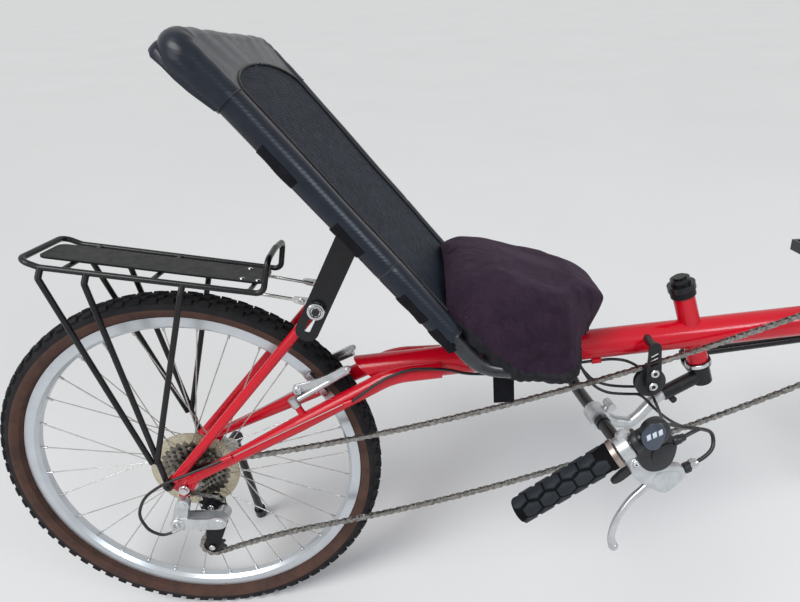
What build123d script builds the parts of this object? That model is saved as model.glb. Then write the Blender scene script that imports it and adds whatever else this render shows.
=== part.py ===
from build123d import *
import os
from math import acos, atan2, cos, degrees, hypot, pi, radians, sin, tan

# A long recumbent bicycle with under-seat steering, leaning on its side stand.
# It is drawn upright: x runs forward, y to the rider's left and z up, all from the centre of
# the rear axle, in millimetres. Each piece is leaned over onto the stand when it is written.

# Driving dimensions
LEAN = 7.0                       # degrees to the left, onto the side stand
WHEELBASE = 1650.0
REAR_BEAD_RADIUS = 279.5         # 559 mm bead seat
REAR_TYRE_RADIUS = 322.0
REAR_TYRE_WIDTH = 50.0
FRONT_BEAD_RADIUS = 203.0        # 406 mm bead seat
FRONT_TYRE_RADIUS = 247.0
FRONT_TYRE_WIDTH = 44.0
REAR_SPACING = 135.0             # between the faces of the rear dropouts
FRONT_SPACING = 100.0
FIT = 0.06                       # radial clearance of a shaft in its bore
SEAT_GAP = 0.3                   # clearance of a piece on what carries it

# Main tube
TUBE_DIAMETER = 50.8
TUBE_WALL = 1.6
TUBE_REAR = 322.0                # where its axis meets the slanted rear end
TUBE_HEIGHT = 147.5              # height of its axis over the rear axle at x = 0
TUBE_RISE = 3.1                  # degrees
TUBE_END_SLANT = 43.0            # degrees between its rear face and the level
STAY_DIAMETER = 28.0
STAY_TIP_DIAMETER = 16.0
SEAT_STAY_DIAMETER = 16.0
DROPOUT_THICKNESS = 5.0

# Steering
HEAD_TILT = 17.5                 # degrees back from upright, both steering axes
PARKED_STEER = 7.0               # degrees to the left at which it stands
HEAD_DIAMETER = 36.0
STEERER_RADIUS = 14.3
MIDDLE_X = 873.0                 # where the middle steering axis crosses the main tube
FORK_RAKE = 45.0
ARM_LENGTH = 48.0
CUP_HEIGHT = 11.0

# Drive
CRANK_X = 1340.0
CRANK_Z = 287.0
CRANK_LENGTH = 170.0
SHELL_WIDTH = 68.0
SHELL_DIAMETER = 40.0
PITCH = 12.7
SMALL_COG_Y = -57.5
COG_STEP = 4.8
CHAINRING_Y = -42.0

# Seat
SEAT_HALF_WIDTH = 185.0
SEAT_TUBE = 22.0
SEAT_TOP = (184.0, 662.0)        # x, z of the top corner of its side tubes
SEAT_BEND = (497.0, 250.0)       # where they turn to the level
SEAT_FRONT = (700.0, 224.0)


def beam(x, up=0.0, y=0.0):
    """A point beside the main tube's axis, up mm square to it."""
    rise = radians(TUBE_RISE)
    return (x - up * sin(rise), y, TUBE_HEIGHT + x * tan(rise) + up * cos(rise))


BEAM = Vector(cos(radians(TUBE_RISE)), 0, sin(radians(TUBE_RISE)))
STEER = Vector(-sin(radians(HEAD_TILT)), 0, cos(radians(HEAD_TILT)))
AHEAD = Vector(cos(radians(HEAD_TILT)), 0, sin(radians(HEAD_TILT)))
FRONT_Z = FRONT_TYRE_RADIUS - REAR_TYRE_RADIUS
MIDDLE = Vector(*beam(MIDDLE_X))
FORK_FOOT = Vector(WHEELBASE, 0, FRONT_Z) - AHEAD * FORK_RAKE


def middle_axis(up, ahead=0.0, y=0.0):
    """A point on the middle steering axis, up mm over the main tube's axis."""
    return MIDDLE + STEER * up + AHEAD * ahead + Vector(0, y, 0)


def fork_axis(up, ahead=0.0, y=0.0):
    """A point on the front steering axis, up mm over the foot of the rake."""
    return FORK_FOOT + STEER * up + AHEAD * ahead + Vector(0, y, 0)


def side_plane(y, x=0.0, z=0.0):
    """An upright plane at y whose own axes are x and z; it faces the rider's right."""
    return Plane(origin=(x, y, z), x_dir=(1, 0, 0), z_dir=(0, -1, 0))


def wheel_plane(x, z):
    """The section plane of a wheel: its own x is the axle and its own y the radius."""
    return Plane(origin=(x, 0, z), x_dir=(0, 1, 0), z_dir=(1, 0, 0))


def rod(start, end, diameter, mode=Mode.ADD):
    """A straight round bar in the part being built."""
    run = Vector(*end) - Vector(*start)
    with BuildSketch(Plane(origin=start, z_dir=run)) as section:
        Circle(diameter / 2)
    extrude(section.sketch, amount=run.length, mode=mode)


def bent_rod(points, diameter, bend, mode=Mode.ADD):
    """A round bar bent along straight runs, in the part being built; bend is one radius or a list."""
    with BuildLine() as path:
        FilletPolyline(*points, radius=bend)
    with BuildSketch(Plane(origin=path.line @ 0, z_dir=path.line % 0)) as section:
        Circle(diameter / 2)
    sweep(section.sketch, path=path.line, mode=mode)


def cable(points, diameter):
    """A cable along its route, with the largest arcs that its runs leave room for."""
    radii = []
    for before, corner, after in zip(points, points[1:], points[2:]):
        a, b = Vector(*corner) - Vector(*before), Vector(*after) - Vector(*corner)
        turn = radians(a.get_angle(b))
        radii.append(0.45 * min(a.length, b.length) / tan(turn / 2))
    bent_rod(points, diameter, radii)


def across(x, z, y_from, y_to, diameter, mode=Mode.ADD):
    """A round bar along the axle direction."""
    rod((x, y_from, z), (x, y_to, z), diameter, mode)


FINISHED = {}


def finish(piece, name, steered=None):
    """Turns a steered piece to the parked steering angle and leans it over."""
    part = piece.part
    if steered is not None:
        part = part.rotate(Axis(steered, STEER), PARKED_STEER)
    leaned = part.moved(Location((0, 0, 0), (-LEAN, 0, 0)))
    leaned.label = name
    FINISHED[name] = leaned


def upright(name):
    """A finished piece as it was before it was leaned over."""
    return FINISHED[name].moved(Location((0, 0, 0), (LEAN, 0, 0)))


# Cables
HOUSING = 5.0
WIRE = 1.6
STOP_DIAMETER = 8.5
TUBE_GUIDE = (-26.6, -12.0)      # up and y of the ring that the rear gear's cable passes
SEAT_STOPS = (-1.0, 9.0)         # y of the two stops under the seat
SEAT_STOP_UP = -27.5
STAY_STOP = (Vector(72.3, -74.9, 51.1), Vector(88.1, -71.7, 55.3))     # rear and front end
HIGH_STOP = (Vector(280, -65, 137), Vector(296, -65, 142))

# Main tube with its head tubes and bottom bracket shell
CUP_INSET = 4.0
MIDDLE_HEAD = (-55.0, 74.0)      # lower and upper end along the axis
FRONT_HEAD_LOW = 294.0
FRONT_HEAD_HIGH = 384.0
FRONT_CROSSING = (beam(0)[2] + FORK_FOOT.X * tan(radians(TUBE_RISE)) - FORK_FOOT.Z) / (
    STEER.Z - STEER.X * tan(radians(TUBE_RISE)))
TUBE_FRONT = fork_axis(FRONT_CROSSING)

with BuildPart() as tube_space:
    rod(beam(TUBE_REAR - 80), TUBE_FRONT, TUBE_DIAMETER)

with BuildPart() as main_tube:
    rod(beam(TUBE_REAR - 80), TUBE_FRONT, TUBE_DIAMETER)
    rod(beam(TUBE_REAR + 12), TUBE_FRONT, TUBE_DIAMETER - 2 * TUBE_WALL, Mode.SUBTRACT)
    split(bisect_by=Plane(origin=beam(TUBE_REAR), x_dir=(0, 1, 0),
                          z_dir=(sin(radians(TUBE_END_SLANT)), 0, cos(radians(TUBE_END_SLANT)))),
          keep=Keep.TOP)
    rod(middle_axis(MIDDLE_HEAD[0]), middle_axis(MIDDLE_HEAD[1]), HEAD_DIAMETER)
    rod(fork_axis(FRONT_HEAD_LOW), fork_axis(FRONT_HEAD_HIGH), HEAD_DIAMETER)
    rod(beam(CRANK_X + 6), (CRANK_X, 0, CRANK_Z), 32.0)
    across(CRANK_X, CRANK_Z, -SHELL_WIDTH / 2, SHELL_WIDTH / 2, SHELL_DIAMETER)
    # Bores
    rod(middle_axis(MIDDLE_HEAD[0]), middle_axis(MIDDLE_HEAD[1]), HEAD_DIAMETER - 4, Mode.SUBTRACT)
    rod(fork_axis(FRONT_HEAD_LOW), fork_axis(FRONT_HEAD_HIGH), HEAD_DIAMETER - 4, Mode.SUBTRACT)
    across(CRANK_X, CRANK_Z, -SHELL_WIDTH / 2, SHELL_WIDTH / 2, SHELL_DIAMETER - 6, Mode.SUBTRACT)
    # Guide ring for the rear gear's cable, and two stops under the seat
    rod(beam(697, *TUBE_GUIDE), beam(713, *TUBE_GUIDE), 10.0)
    rod(beam(690, *TUBE_GUIDE), beam(720, *TUBE_GUIDE), HOUSING + 1.0, Mode.SUBTRACT)
    for y in SEAT_STOPS:
        rod(beam(648, SEAT_STOP_UP, y), beam(662, SEAT_STOP_UP, y), STOP_DIAMETER)
finish(main_tube, "main_tube")

# Headset cups, two at each head tube
CUP_OUTER = 42.0
with BuildPart() as headset_cups:
    for place, low, high in ((middle_axis, *MIDDLE_HEAD), (fork_axis, FRONT_HEAD_LOW, FRONT_HEAD_HIGH)):
        for end, way in ((low, -1), (high, 1)):
            rod(place(end), place(end + way * CUP_HEIGHT), CUP_OUTER)
            rod(place(end - way * CUP_INSET), place(end), HEAD_DIAMETER - 4)
            rod(place(end - way * 30), place(end + way * 30), 2 * (STEERER_RADIUS + FIT), Mode.SUBTRACT)
finish(headset_cups, "headset_cups")

# Bottom bracket cups
SPINDLE_RADIUS = 8.5
with BuildPart() as bracket_cups:
    for way in (-1, 1):
        across(CRANK_X, CRANK_Z, way * (SHELL_WIDTH / 2 - 12), way * SHELL_WIDTH / 2, SHELL_DIAMETER - 6)
        across(CRANK_X, CRANK_Z, way * SHELL_WIDTH / 2, way * (SHELL_WIDTH / 2 + 2), SHELL_DIAMETER)
    across(CRANK_X, CRANK_Z, -60, 60, 2 * (SPINDLE_RADIUS + FIT), Mode.SUBTRACT)
finish(bracket_cups, "bracket_cups")

# Chainstays with their dropouts
DROPOUT_Y = REAR_SPACING / 2
STAY_TIP = (8.0, DROPOUT_Y + DROPOUT_THICKNESS / 2, 12.0)
STAY_BEND = (362.0, 38.0, 170.0)
STAY_FRONT = (442.0, 32.0, beam(442.0)[2])
TAPER_SHARE = 0.55
EYELET = (-23.0, 10.0)
HANGER = (-8.0, -27.0)
SEAT_STAY_TIP = (-14.0, DROPOUT_Y + DROPOUT_THICKNESS / 2, 16.0)
SEAT_STAY_TOP = (262.0, 50.0, 304.0)
STAY_BOSS_OUTER = 62.0
AXLE_RADIUS = 5.0


def side(point, way):
    """The point on the left (1) or right (-1) side."""
    return (point[0], way * point[1], point[2])


def chainstay(way):
    tip = Vector(*side(STAY_TIP, way))
    bend = Vector(*side(STAY_BEND, way))
    middle = tip + (bend - tip) * TAPER_SHARE
    along = bend - tip
    with BuildPart() as piece:
        for place, diameter in ((tip, STAY_TIP_DIAMETER), (middle, STAY_DIAMETER)):
            with BuildSketch(Plane(origin=place, z_dir=along)):
                Circle(diameter / 2)
        loft()
        bent_rod([middle, bend, side(STAY_FRONT, way)], STAY_DIAMETER, 120)
        # Dropout plate
        inner = side_plane(-DROPOUT_Y) if way < 0 else side_plane(DROPOUT_Y + DROPOUT_THICKNESS)
        with BuildSketch(inner):
            with Locations((0, 0)):
                Circle(13)
            with Locations(EYELET):
                Circle(7)
            with Locations((16, 14)):
                Circle(9)
            with Locations((-14, 20)):
                Circle(7)
            make_hull()
            if way < 0:
                with BuildSketch(mode=Mode.PRIVATE) as hanger:
                    with Locations((-4, -4), HANGER):
                        Circle(8)
                    make_hull()
                add(hanger.sketch)
        extrude(amount=DROPOUT_THICKNESS)
        with BuildSketch(side_plane(-100)):
            Circle(AXLE_RADIUS + FIT)
            with Locations((3, -10)):
                Rectangle(2 * (AXLE_RADIUS + FIT), 22)
            with Locations(EYELET):
                Circle(2.6)
        extrude(amount=-200, mode=Mode.SUBTRACT)
        # Brake boss
        boss = tip + along * 0.585
        rod(boss + Vector(-5, 0, 10), boss + Vector(-12, 0, 26), 12.0)
        # Cable stops of the rear gear
        if way < 0:
            rod(*STAY_STOP, STOP_DIAMETER)
            rod((80, -66, 47), (80, -73, 53), 6.0)
            rod(*HIGH_STOP, STOP_DIAMETER)
            rod((288, -50, 139), (288, -64, 139.5), 6.0)
        add(tube_space.part, mode=Mode.SUBTRACT)
    return piece


for name, way in (("chainstay_right", -1), ("chainstay_left", 1)):
    finish(chainstay(way), name)

# Seat stays
for name, way in (("seat_stay_right", -1), ("seat_stay_left", 1)):
    with BuildPart() as stay:
        start = Vector(*side(SEAT_STAY_TIP, way))
        end = Vector(*side(SEAT_STAY_TOP, way))
        rod(start, end, SEAT_STAY_DIAMETER)
        across(SEAT_STAY_TOP[0], SEAT_STAY_TOP[2], way * 42, way * STAY_BOSS_OUTER, 20.0)
        across(SEAT_STAY_TOP[0], SEAT_STAY_TOP[2], way * 30, way * 70, 8.1, Mode.SUBTRACT)
        add(upright("chainstay_right" if way < 0 else "chainstay_left"), mode=Mode.SUBTRACT)
    finish(stay, name)

# Rear axle with its nuts
HUB_END = 61.5
BRACKET_PLATE = 5.0              # plate of the stand's bracket under the left nut
DROPOUT_OUTER = DROPOUT_Y + DROPOUT_THICKNESS
with BuildPart() as rear_axle:
    across(0, 0, -DROPOUT_OUTER - 8, DROPOUT_OUTER + BRACKET_PLATE + 8, 2 * AXLE_RADIUS)
    for way, outer in ((-1, DROPOUT_OUTER), (1, DROPOUT_OUTER + BRACKET_PLATE)):
        across(0, 0, way * (HUB_END + 0.5), way * DROPOUT_Y, 17.0)
        across(0, 0, way * outer, way * (outer + 7), 17.0)
    across(0, 0, -DROPOUT_OUTER - 12, -DROPOUT_OUTER - 7, 13.0)
    across(0, 0, DROPOUT_OUTER + BRACKET_PLATE + 7, DROPOUT_OUTER + BRACKET_PLATE + 11, 13.0)
finish(rear_axle, "rear_axle")

# Wheels
RIM_LIP = 6.0                    # height of the rim's edge over the bead seat
RIM_DEPTH = 20.5
RIM_HALF_WIDTH = 12.0
SPOKE_DIAMETER = 2.0
SPOKE_CIRCLE = 22.5              # radius of the spoke holes in the hub flanges


def rim(x, z, bead):
    """A straight-walled alloy rim with an open channel for the tyre."""
    edge = bead + RIM_LIP
    half = [(0, bead - 2.5), (RIM_HALF_WIDTH - 2, bead - 2.5), (RIM_HALF_WIDTH - 2, edge),
            (RIM_HALF_WIDTH, edge), (RIM_HALF_WIDTH, edge - RIM_DEPTH + 5),
            (RIM_HALF_WIDTH / 2, edge - RIM_DEPTH), (0, edge - RIM_DEPTH)]
    with BuildPart() as piece:
        with BuildSketch(wheel_plane(x, z)):
            with BuildLine():
                Polyline(*half, *[(-a, r) for a, r in reversed(half[1:-1])], close=True)
            make_face()
        revolve(axis=Axis((x, 0, z), (0, 1, 0)))
    return piece


def tyre(x, z, bead, radius, width):
    """A round tyre seated in the rim's channel."""
    foot = bead - 2.5 + SEAT_GAP
    hook = bead + RIM_LIP + 1.2
    neck = RIM_HALF_WIDTH - 2 - SEAT_GAP
    widest = bead + 0.46 * (radius - bead)
    shoulder = (0.37 * width, radius - 0.12 * (radius - bead))
    with BuildPart() as piece:
        with BuildSketch(wheel_plane(x, z)):
            with BuildLine():
                Polyline((-neck, hook), (-neck, foot), (neck, foot), (neck, hook))
                ThreePointArc((neck, hook), (width / 2, widest), shoulder)
                ThreePointArc(shoulder, (0, radius), (-shoulder[0], shoulder[1]))
                ThreePointArc((-shoulder[0], shoulder[1]), (-width / 2, widest), (-neck, hook))
            make_face()
        revolve(axis=Axis((x, 0, z), (0, 1, 0)))
    return piece


def spoked_hub(x, z, bead, flanges, shell, ends, freehub=0.0, spokes=32, crossing=67.5):
    """A hub with laced spokes; flanges are its right and left flange, ends its two ends."""
    inner = bead + RIM_LIP - RIM_DEPTH - SEAT_GAP
    with BuildPart() as piece:
        across(x, z, ends[0], ends[1], shell)
        if freehub:
            across(x, z, ends[0], flanges[0] - 4, 2 * freehub)
        for y in flanges:
            across(x, z, y - 1.6, y + 1.6, 2 * SPOKE_CIRCLE + 9)
        for k in range(spokes):
            flange = flanges[k % 2]
            way = 1 if (k // 2) % 2 else -1
            at_rim = radians(k * 360 / spokes)
            at_hub = at_rim + way * radians(crossing)
            lift = way * 2.4
            start = (x + SPOKE_CIRCLE * cos(at_hub), flange + lift, z + SPOKE_CIRCLE * sin(at_hub))
            end = (x + inner * cos(at_rim), 0.06 * flange, z + inner * sin(at_rim))
            rod(start, end, SPOKE_DIAMETER)
        across(x, z, ends[0] - 5, ends[1] + 5, 2 * (AXLE_RADIUS + FIT), Mode.SUBTRACT)
    return piece


FREEHUB_RADIUS = 17.0
REAR_FLANGES = (-17.0, 35.0)
finish(rim(0, 0, REAR_BEAD_RADIUS), "rear_rim")
finish(tyre(0, 0, REAR_BEAD_RADIUS, REAR_TYRE_RADIUS, REAR_TYRE_WIDTH), "rear_tyre")
finish(spoked_hub(0, 0, REAR_BEAD_RADIUS, REAR_FLANGES, 30.0, (-HUB_END, HUB_END),
                  FREEHUB_RADIUS), "rear_hub")
FRONT_HUB_END = FRONT_SPACING / 2 - 6
finish(rim(WHEELBASE, FRONT_Z, FRONT_BEAD_RADIUS), "front_rim", FORK_FOOT)
finish(tyre(WHEELBASE, FRONT_Z, FRONT_BEAD_RADIUS, FRONT_TYRE_RADIUS, FRONT_TYRE_WIDTH), "front_tyre",
       FORK_FOOT)
finish(spoked_hub(WHEELBASE, FRONT_Z, FRONT_BEAD_RADIUS, (-31.0, 31.0), 24.0,
                  (-FRONT_HUB_END, FRONT_HUB_END)), "front_hub", FORK_FOOT)

# Sprockets
TOOTH_THICKNESS = 1.9
ROLLER_RADIUS = 3.9


def pitch_radius(teeth):
    return PITCH / (2 * sin(pi / teeth))


def toothed(teeth):
    """The outline of a sprocket, in the sketch being drawn."""
    radius = pitch_radius(teeth)
    points = []
    for k in range(teeth):
        for share, reach in ((0.0, -ROLLER_RADIUS), (0.38, 2.6), (0.62, 2.6)):
            angle = 2 * pi * (k + share) / teeth
            points.append(((radius + reach) * cos(angle), (radius + reach) * sin(angle)))
    with BuildLine() as line:
        Polyline(*points, close=True)
    make_face(line.edges())


COGS = (12, 13, 14, 16, 18, 21, 24, 28)
with BuildPart() as cassette:
    for k, teeth in enumerate(COGS):
        with BuildSketch(side_plane(SMALL_COG_Y + k * COG_STEP + TOOTH_THICKNESS / 2)):
            toothed(teeth)
            if teeth > 20:
                with PolarLocations(pitch_radius(teeth) - 13, 8):
                    Circle(5.0, mode=Mode.SUBTRACT)
        extrude(amount=TOOTH_THICKNESS)
    across(0, 0, SMALL_COG_Y - 1.5, SMALL_COG_Y + 7 * COG_STEP, 2 * FREEHUB_RADIUS + 6)
    across(0, 0, -70, 0, 2 * FREEHUB_RADIUS, Mode.SUBTRACT)
finish(cassette, "cassette")

# Spoke protector behind the cassette
with BuildPart() as spoke_protector:
    across(0, 0, -22.6, -21.2, 150.0)
    across(0, 0, -30, -15, 2 * FREEHUB_RADIUS + 0.2, Mode.SUBTRACT)
finish(spoke_protector, "spoke_protector")

# Cranks with their three chainrings
RINGS = (                        # teeth, y, inner radius
    (28, CHAINRING_Y, 40.0),
    (38, CHAINRING_Y - 7.5, 42.0),
    (48, CHAINRING_Y - 14.5, 70.0),
)
CRANK_ANGLE = 0.0                # of the right crank over the level, forward
CRANK_INNER = 62.0               # y of the left crank's inner face
CRANK_THICKNESS = 13.0
CRANK_OUTER_RIGHT = 79.0
PEDAL_AXLE = 9.0
PEDAL_SIZE = (88.0, 78.0, 20.0)
PEDAL_Y = 133.0                  # y of the middle of the pedal


def crank_end(way):
    """x, z of a pedal axle: the right (-1) or the left (1) one."""
    angle = radians(CRANK_ANGLE) + (pi if way > 0 else 0)
    return (CRANK_X + CRANK_LENGTH * cos(angle), CRANK_Z + CRANK_LENGTH * sin(angle))


with BuildPart() as crankset:
    for teeth, y, inner in RINGS:
        with BuildSketch(side_plane(y + TOOTH_THICKNESS / 2, CRANK_X, CRANK_Z)):
            toothed(teeth)
            Circle(inner, mode=Mode.SUBTRACT)
        extrude(amount=TOOTH_THICKNESS)
    # Spider between the two outer rings, with posts to the small one
    with BuildSketch(side_plane(RINGS[1][1] - TOOTH_THICKNESS / 2, CRANK_X, CRANK_Z)):
        Circle(22)
        for k in range(4):
            with BuildSketch(mode=Mode.PRIVATE) as arm:
                Circle(12)
                with Locations((76 * cos(radians(45 + 90 * k)), 76 * sin(radians(45 + 90 * k)))):
                    Circle(7)
                make_hull()
            add(arm.sketch)
    extrude(amount=RINGS[1][1] - RINGS[2][1] - TOOTH_THICKNESS)
    for k in range(4):
        angle = radians(45 + 90 * k)
        across(CRANK_X + 46 * cos(angle), CRANK_Z + 46 * sin(angle), CHAINRING_Y, RINGS[1][1] - 4, 7.0)
    # Arms
    for way, inner in ((-1, CRANK_OUTER_RIGHT - CRANK_THICKNESS), (1, CRANK_INNER)):
        end = crank_end(way)
        face = side_plane(-inner if way < 0 else inner + CRANK_THICKNESS)
        with BuildSketch(face):
            with Locations((CRANK_X, CRANK_Z)):
                Circle(17)
            with Locations(end):
                Circle(13)
            make_hull()
        extrude(amount=CRANK_THICKNESS)
        across(*end, way * inner, way * (PEDAL_Y + PEDAL_SIZE[1] / 2 - 6), PEDAL_AXLE)
        across(*end, way * (inner + CRANK_THICKNESS), way * (inner + CRANK_THICKNESS + 5), 16.0)
    across(CRANK_X, CRANK_Z, -CRANK_OUTER_RIGHT + 1, CRANK_INNER + 8, 2 * SPINDLE_RADIUS)
    across(CRANK_X, CRANK_Z, -CRANK_OUTER_RIGHT + 5, -50, 34.0)
finish(crankset, "crankset")

# Pedals
for name, way in (("pedal_right", -1), ("pedal_left", 1)):
    end = crank_end(way)
    with BuildPart() as pedal:
        with Locations((end[0], way * PEDAL_Y, end[1])):
            Box(*PEDAL_SIZE)
            with Locations((-27, 0, 0), (27, 0, 0)):
                Box(24, PEDAL_SIZE[1] - 16, 40, mode=Mode.SUBTRACT)
            with Locations((0, 0, -12), (0, 0, 12)):
                Box(PEDAL_SIZE[0] - 14, PEDAL_SIZE[1] - 14, 12, mode=Mode.SUBTRACT)
        across(*end, way * (PEDAL_Y - PEDAL_SIZE[1] / 2), way * (PEDAL_Y + PEDAL_SIZE[1] / 2), 17.0)
        across(*end, way * (PEDAL_Y - 60), way * (PEDAL_Y + PEDAL_SIZE[1] / 2 - 5.5),
               PEDAL_AXLE + 2 * FIT, Mode.SUBTRACT)
    finish(pedal, name)

# Idler under the main tube
CHAIN_COG = 2                    # place in COGS of the one that carries the chain
CHAIN_Y = SMALL_COG_Y + CHAIN_COG * COG_STEP
IDLER = (790.0, 131.0)
IDLER_Y = CHAIN_Y + (CHAINRING_Y - CHAIN_Y) * IDLER[0] / CRANK_X
IDLER_RADIUS = 21.0
IDLER_PLATE_Y = -57.0
IDLER_SLOTS = (170.0, 178.0, 186.0)    # z of the slots in the plate
IDLER_BOLT = (791.0, 155.0)
with BuildPart() as idler_bracket:
    with BuildSketch(side_plane(IDLER_PLATE_Y)):
        with Locations((789, 199)):
            Circle(10)
        with Locations(IDLER_BOLT, IDLER):
            Circle(12)
        make_hull()
        with Locations(*[(789.5, z) for z in IDLER_SLOTS]):
            SlotOverall(14, 4.4, rotation=28, mode=Mode.SUBTRACT)
    extrude(amount=4.0)
    rod((788, -12, 200), (788, IDLER_PLATE_Y - 2, 200), 13.0)
    add(tube_space.part, mode=Mode.SUBTRACT)
    across(*IDLER, IDLER_PLATE_Y - 7, IDLER_Y + 8, 8.0)
    for place in (IDLER, IDLER_BOLT):
        across(*place, IDLER_PLATE_Y - 9, IDLER_PLATE_Y - 4, 13.0)
finish(idler_bracket, "idler_bracket")

with BuildPart() as idler_pulley:
    across(*IDLER, IDLER_Y - 4.0, IDLER_Y + 4.0, 2 * IDLER_RADIUS)
    for way in (-1, 1):
        across(*IDLER, IDLER_Y + way * 4.0, IDLER_Y + way * 6.0, 2 * IDLER_RADIUS + 10)
    across(*IDLER, -70, -30, 8.0 + 2 * FIT, Mode.SUBTRACT)
finish(idler_pulley, "idler_pulley")

# Rear derailleur
PULLEY_TEETH = 10
GUIDE = (25.0, -58.0)
JOCKEY = (8.0, -148.0)
KNUCKLE = (-22.0, -64.0)
CAGE_PIVOT = (46.0, -68.0)
HANGER_FACE = -(DROPOUT_Y + DROPOUT_THICKNESS)
BARREL_END = (-38.0, HANGER_FACE - 7, -86.5)
with BuildPart() as derailleur_body:
    with BuildSketch(side_plane(HANGER_FACE)):
        with Locations(HANGER):
            Circle(11)
        with Locations(KNUCKLE):
            Circle(12)
        make_hull()
    extrude(amount=13.0)
    with BuildSketch(side_plane(HANGER_FACE + 6)):
        with Locations(KNUCKLE, CAGE_PIVOT):
            Circle(12)
        make_hull()
    extrude(amount=5.5)
    across(*KNUCKLE, HANGER_FACE - 13, HANGER_FACE + 6, 24.0)
    across(*CAGE_PIVOT, CHAIN_Y - 6.5, HANGER_FACE + 6, 24.0)
    rod((-15, HANGER_FACE - 7, -72.5), BARREL_END, 8.0)
    across(*HANGER, HANGER_FACE - 13, HANGER_FACE - 15, 12.0)
finish(derailleur_body, "derailleur_body")

with BuildPart() as derailleur_cage:
    for face, ends in ((CHAIN_Y - 4.6, (GUIDE, JOCKEY, CAGE_PIVOT)), (CHAIN_Y + 6.2, (GUIDE, JOCKEY))):
        with BuildSketch(side_plane(face)):
            with Locations(*ends):
                Circle(11)
            make_hull()
        extrude(amount=1.6)
    for pulley in (GUIDE, JOCKEY):
        across(*pulley, CHAIN_Y - 6.2, CHAIN_Y + 6.2, 6.0)
        across(*pulley, CHAIN_Y - 6.2, CHAIN_Y - 8.5, 10.0)
finish(derailleur_cage, "derailleur_cage")

with BuildPart() as derailleur_pulleys:
    for pulley in (GUIDE, JOCKEY):
        with BuildSketch(side_plane(CHAIN_Y + TOOTH_THICKNESS / 2, *pulley)):
            toothed(PULLEY_TEETH)
        extrude(amount=TOOTH_THICKNESS)
        across(*pulley, CHAIN_Y - 3.4, CHAIN_Y + 3.4, 22.0)
        across(*pulley, CHAIN_Y - 20, CHAIN_Y + 20, 6.0 + 2 * FIT, Mode.SUBTRACT)
finish(derailleur_pulleys, "derailleur_pulleys")

# Chain: one loop of links in a plane from the cog to the small chainring
LINK_HALF = (4.2, 2.8)           # half height at a pin and between two pins
CHAIN_WIDTH = 6.6
SLOT_WIDTH = 3.0
RUN_BREAK = (200.0, -124.8, 7.5)  # x, z and slope angle where the slack lower run levels out


def on_circle(centre, radius, angle):
    return (centre[0] + radius * cos(radians(angle)), centre[1] + radius * sin(radians(angle)))


def sag(start, start_angle, end, end_angle, count=60):
    """A slack run between two points that leaves and arrives at the given angles."""
    a, b = tan(radians(start_angle)), tan(radians(end_angle))
    x = (end[1] - start[1] + a * start[0] - b * end[0]) / (a - b)
    bend = (x, start[1] + a * (x - start[0]))
    run = []
    for k in range(count + 1):
        t = k / count
        run.append(tuple((1 - t) ** 2 * p + 2 * t * (1 - t) * q + t * t * r
                         for p, q, r in zip(start, bend, end)))
    return run


def arc(centre, radius, start, end, count=24):
    return [on_circle(centre, radius, start + (end - start) * k / count) for k in range(count + 1)]


def spaced(points, count):
    """The same closed line as count points at even distances."""
    lengths = [hypot(b[0] - a[0], b[1] - a[1]) for a, b in zip(points, points[1:] + points[:1])]
    step = sum(lengths) / count
    result, travelled, k = [], 0.0, 0
    for n in range(count):
        while travelled + lengths[k] < n * step - 1e-9:
            travelled += lengths[k]
            k += 1
        share = (n * step - travelled) / lengths[k]
        a, b = points[k], points[(k + 1) % len(points)]
        result.append((a[0] + (b[0] - a[0]) * share, a[1] + (b[1] - a[1]) * share))
    return result, step


COG_RADIUS = pitch_radius(COGS[CHAIN_COG])
PULLEY_RADIUS = pitch_radius(PULLEY_TEETH)
RING_RADIUS = pitch_radius(RINGS[0][0])
RING = (CRANK_X, CRANK_Z)
UPPER_ANGLES = (3.5, 21.8)       # slope of the upper run at the cog and at the chainring
LOWER_ANGLES = (17.0, 25.1)      # slope of the lower run at the derailleur and at the chainring
# Where the chain changes sides: between the jockey and the guide pulley, then at the cog
guide_to_cog = degrees(atan2(GUIDE[1], GUIDE[0]) - acos((COG_RADIUS + PULLEY_RADIUS) / hypot(*GUIDE)))
pulley_gap = (GUIDE[0] - JOCKEY[0], GUIDE[1] - JOCKEY[1])
jockey_to_guide = degrees(atan2(pulley_gap[1], pulley_gap[0]) + acos(2 * PULLEY_RADIUS / hypot(*pulley_gap)))
path = sag(on_circle((0, 0), COG_RADIUS, 90 + UPPER_ANGLES[0]), UPPER_ANGLES[0],
           on_circle(RING, RING_RADIUS, 90 + UPPER_ANGLES[1]), UPPER_ANGLES[1])
path += arc(RING, RING_RADIUS, 90 + UPPER_ANGLES[1], -90 + LOWER_ANGLES[1])[1:]
path += sag(on_circle(RING, RING_RADIUS, -90 + LOWER_ANGLES[1]), LOWER_ANGLES[1],
            RUN_BREAK[:2], RUN_BREAK[2])[1:]
path += sag(RUN_BREAK[:2], RUN_BREAK[2], on_circle(JOCKEY, PULLEY_RADIUS, -90 + LOWER_ANGLES[0]),
            LOWER_ANGLES[0], 12)[1:]
path += arc(JOCKEY, PULLEY_RADIUS, -90 + LOWER_ANGLES[0], jockey_to_guide - 360)[1:]
path += arc(GUIDE, PULLEY_RADIUS, jockey_to_guide - 180, guide_to_cog + 180)
path += arc((0, 0), COG_RADIUS, guide_to_cog, 90 + UPPER_ANGLES[0] - 360)[:-1]
length = sum(hypot(b[0] - a[0], b[1] - a[1]) for a, b in zip(path, path[1:] + path[:1]))
links = 2 * round(length / PITCH / 2)
pins, half_pitch = spaced(path, 2 * links)
edges = ([], [])
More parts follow.
